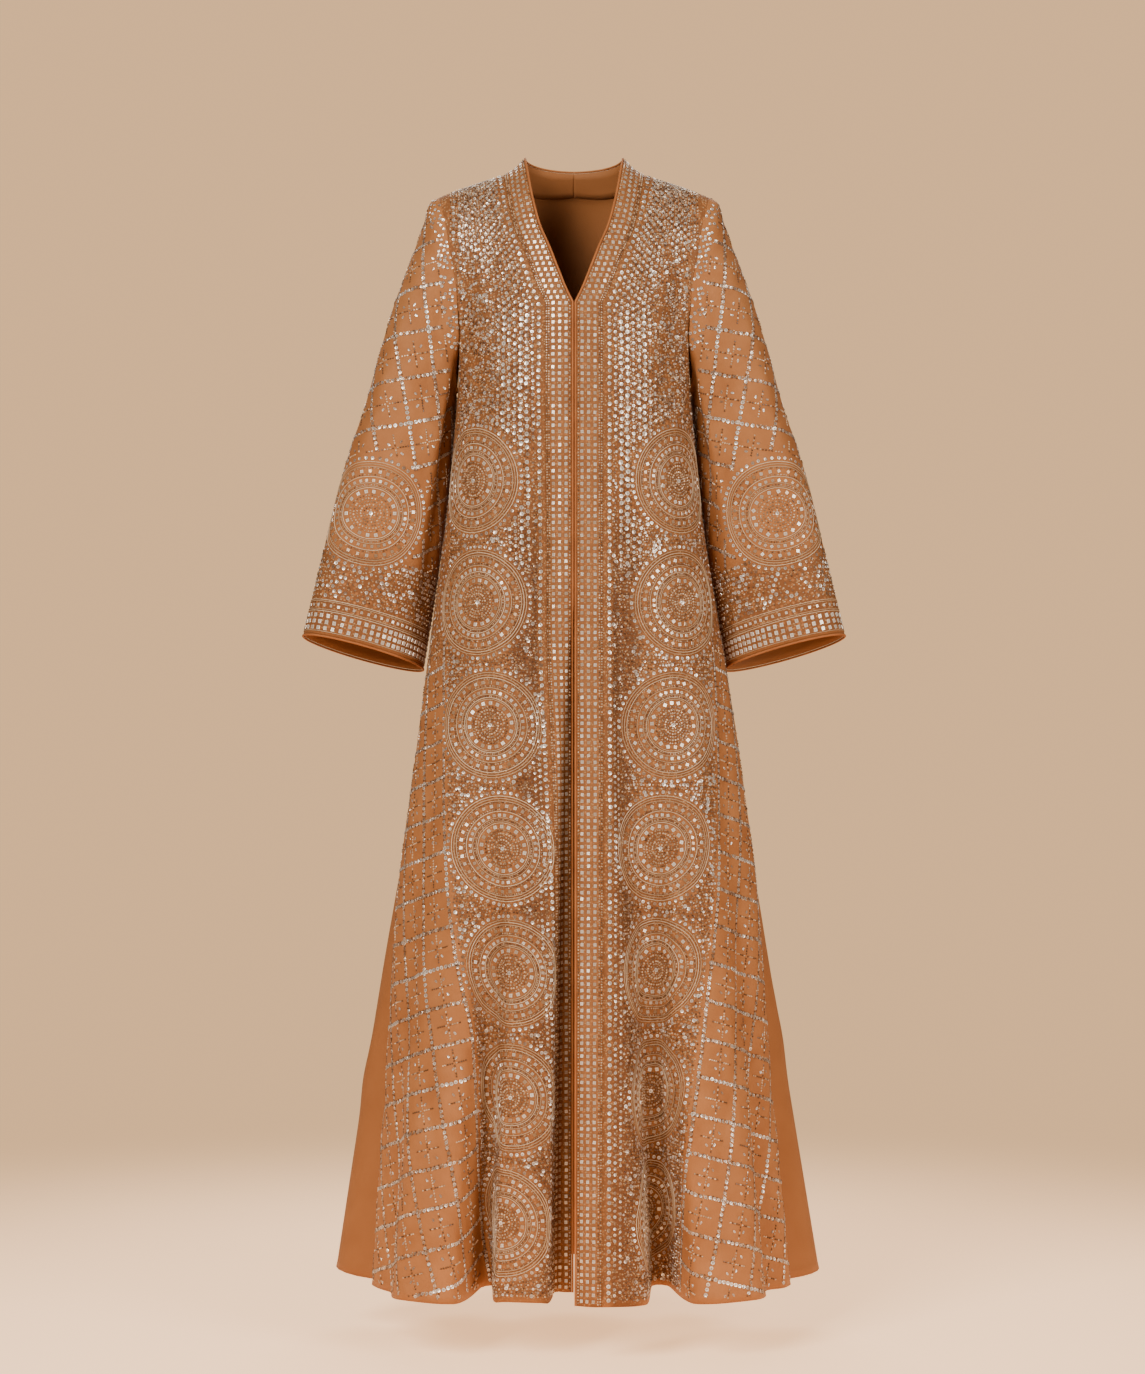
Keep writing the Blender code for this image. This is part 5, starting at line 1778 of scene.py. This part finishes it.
camera_data = bpy.data.cameras.new("camera")
camera_data.sensor_fit = "AUTO"
camera_data.sensor_width = SENSOR_WIDTH
camera_data.lens = SENSOR_WIDTH * FOCAL_LENGTH_PX / IMAGE_HEIGHT_PX
camera = plain_object("camera", camera_data)
camera.location = (CAMERA_OUT, -CAMERA_DISTANCE, CAMERA_HEIGHT)
camera.rotation_euler = (math.pi / 2, 0, 0)
bpy.context.scene.camera = camera

world = bpy.data.worlds.new("studio")
bpy.context.scene.world = world
world.use_nodes = True
add = adder(world.node_tree)
lit = feed(world.node_tree.nodes["Background"], Color=STUDIO_LIGHT, Strength=STUDIO_STRENGTH)
seen = add("ShaderNodeBackground", Color=BACKGROUND_COLOR)
ray = add("ShaderNodeLightPath").outputs["Is Camera Ray"]
either = add("ShaderNodeMixShader", Fac=ray, _1=lit.outputs[0], _2=seen.outputs[0])
feed(world.node_tree.nodes["World Output"], Surface=either.outputs[0])


def soft_light(name, place, aim, size, power, color):
    """A large soft light that looks at a point of the cloak."""
    data = bpy.data.lights.new(name, "AREA")
    data.shape = "RECTANGLE"
    data.size, data.size_y = size
    data.energy = power
    data.color = color
    lamp = plain_object(name, data)
    lamp.location = place
    direction = np.array(aim) - np.array(place)
    lamp.rotation_euler = Vector(direction).to_track_quat("-Z", "Y").to_euler()


soft_light("key", (-2.0, -3.4, 1.5), (0, 0, -0.6), (1.8, 2.4), 262, (1.0, 0.95, 0.86))
soft_light("fill", (2.8, -2.8, 0.4), (0, 0, -0.8), (1.6, 2.6), 140, (1.0, 0.93, 0.83))
soft_light("back", (0.0, 3.0, 1.8), (0, 0, -0.5), (3.0, 2.0), 80, (1.0, 0.94, 0.88))

floor_mesh = bpy.data.meshes.new("floor")
floor_shape = bmesh.new()
bmesh.ops.create_circle(floor_shape, cap_ends=True, radius=FLOOR_RADIUS, segments=96)
floor_shape.to_mesh(floor_mesh)
floor_shape.free()
floor = plain_object("floor", floor_mesh)
floor.location.z = -FLOOR_DROP
floor_material, floor_shader, add = new_material("pale_floor")
floor_place = add("ShaderNodeTexCoord").outputs["Object"]
floor_reach = add("ShaderNodeVectorMath", operation="LENGTH", _0=floor_place).outputs["Value"]
floor_fade = add(
    "ShaderNodeMapRange", interpolation_type="SMOOTHERSTEP", Value=floor_reach,
    From_Min=FLOOR_FADE[0], From_Max=FLOOR_FADE[1], To_Min=1.0, To_Max=0.0,
)
feed(
    floor_shader, Base_Color=FLOOR_COLOR, Roughness=0.7, Specular_IOR_Level=0.1,
    Emission_Color=FLOOR_GLOW, Emission_Strength=0.5, Alpha=floor_fade.outputs["Result"],
)
floor_mesh.materials.append(floor_material)

for helper in (*forms.values(), *SHAPES.values()):
    bpy.data.objects.remove(helper)
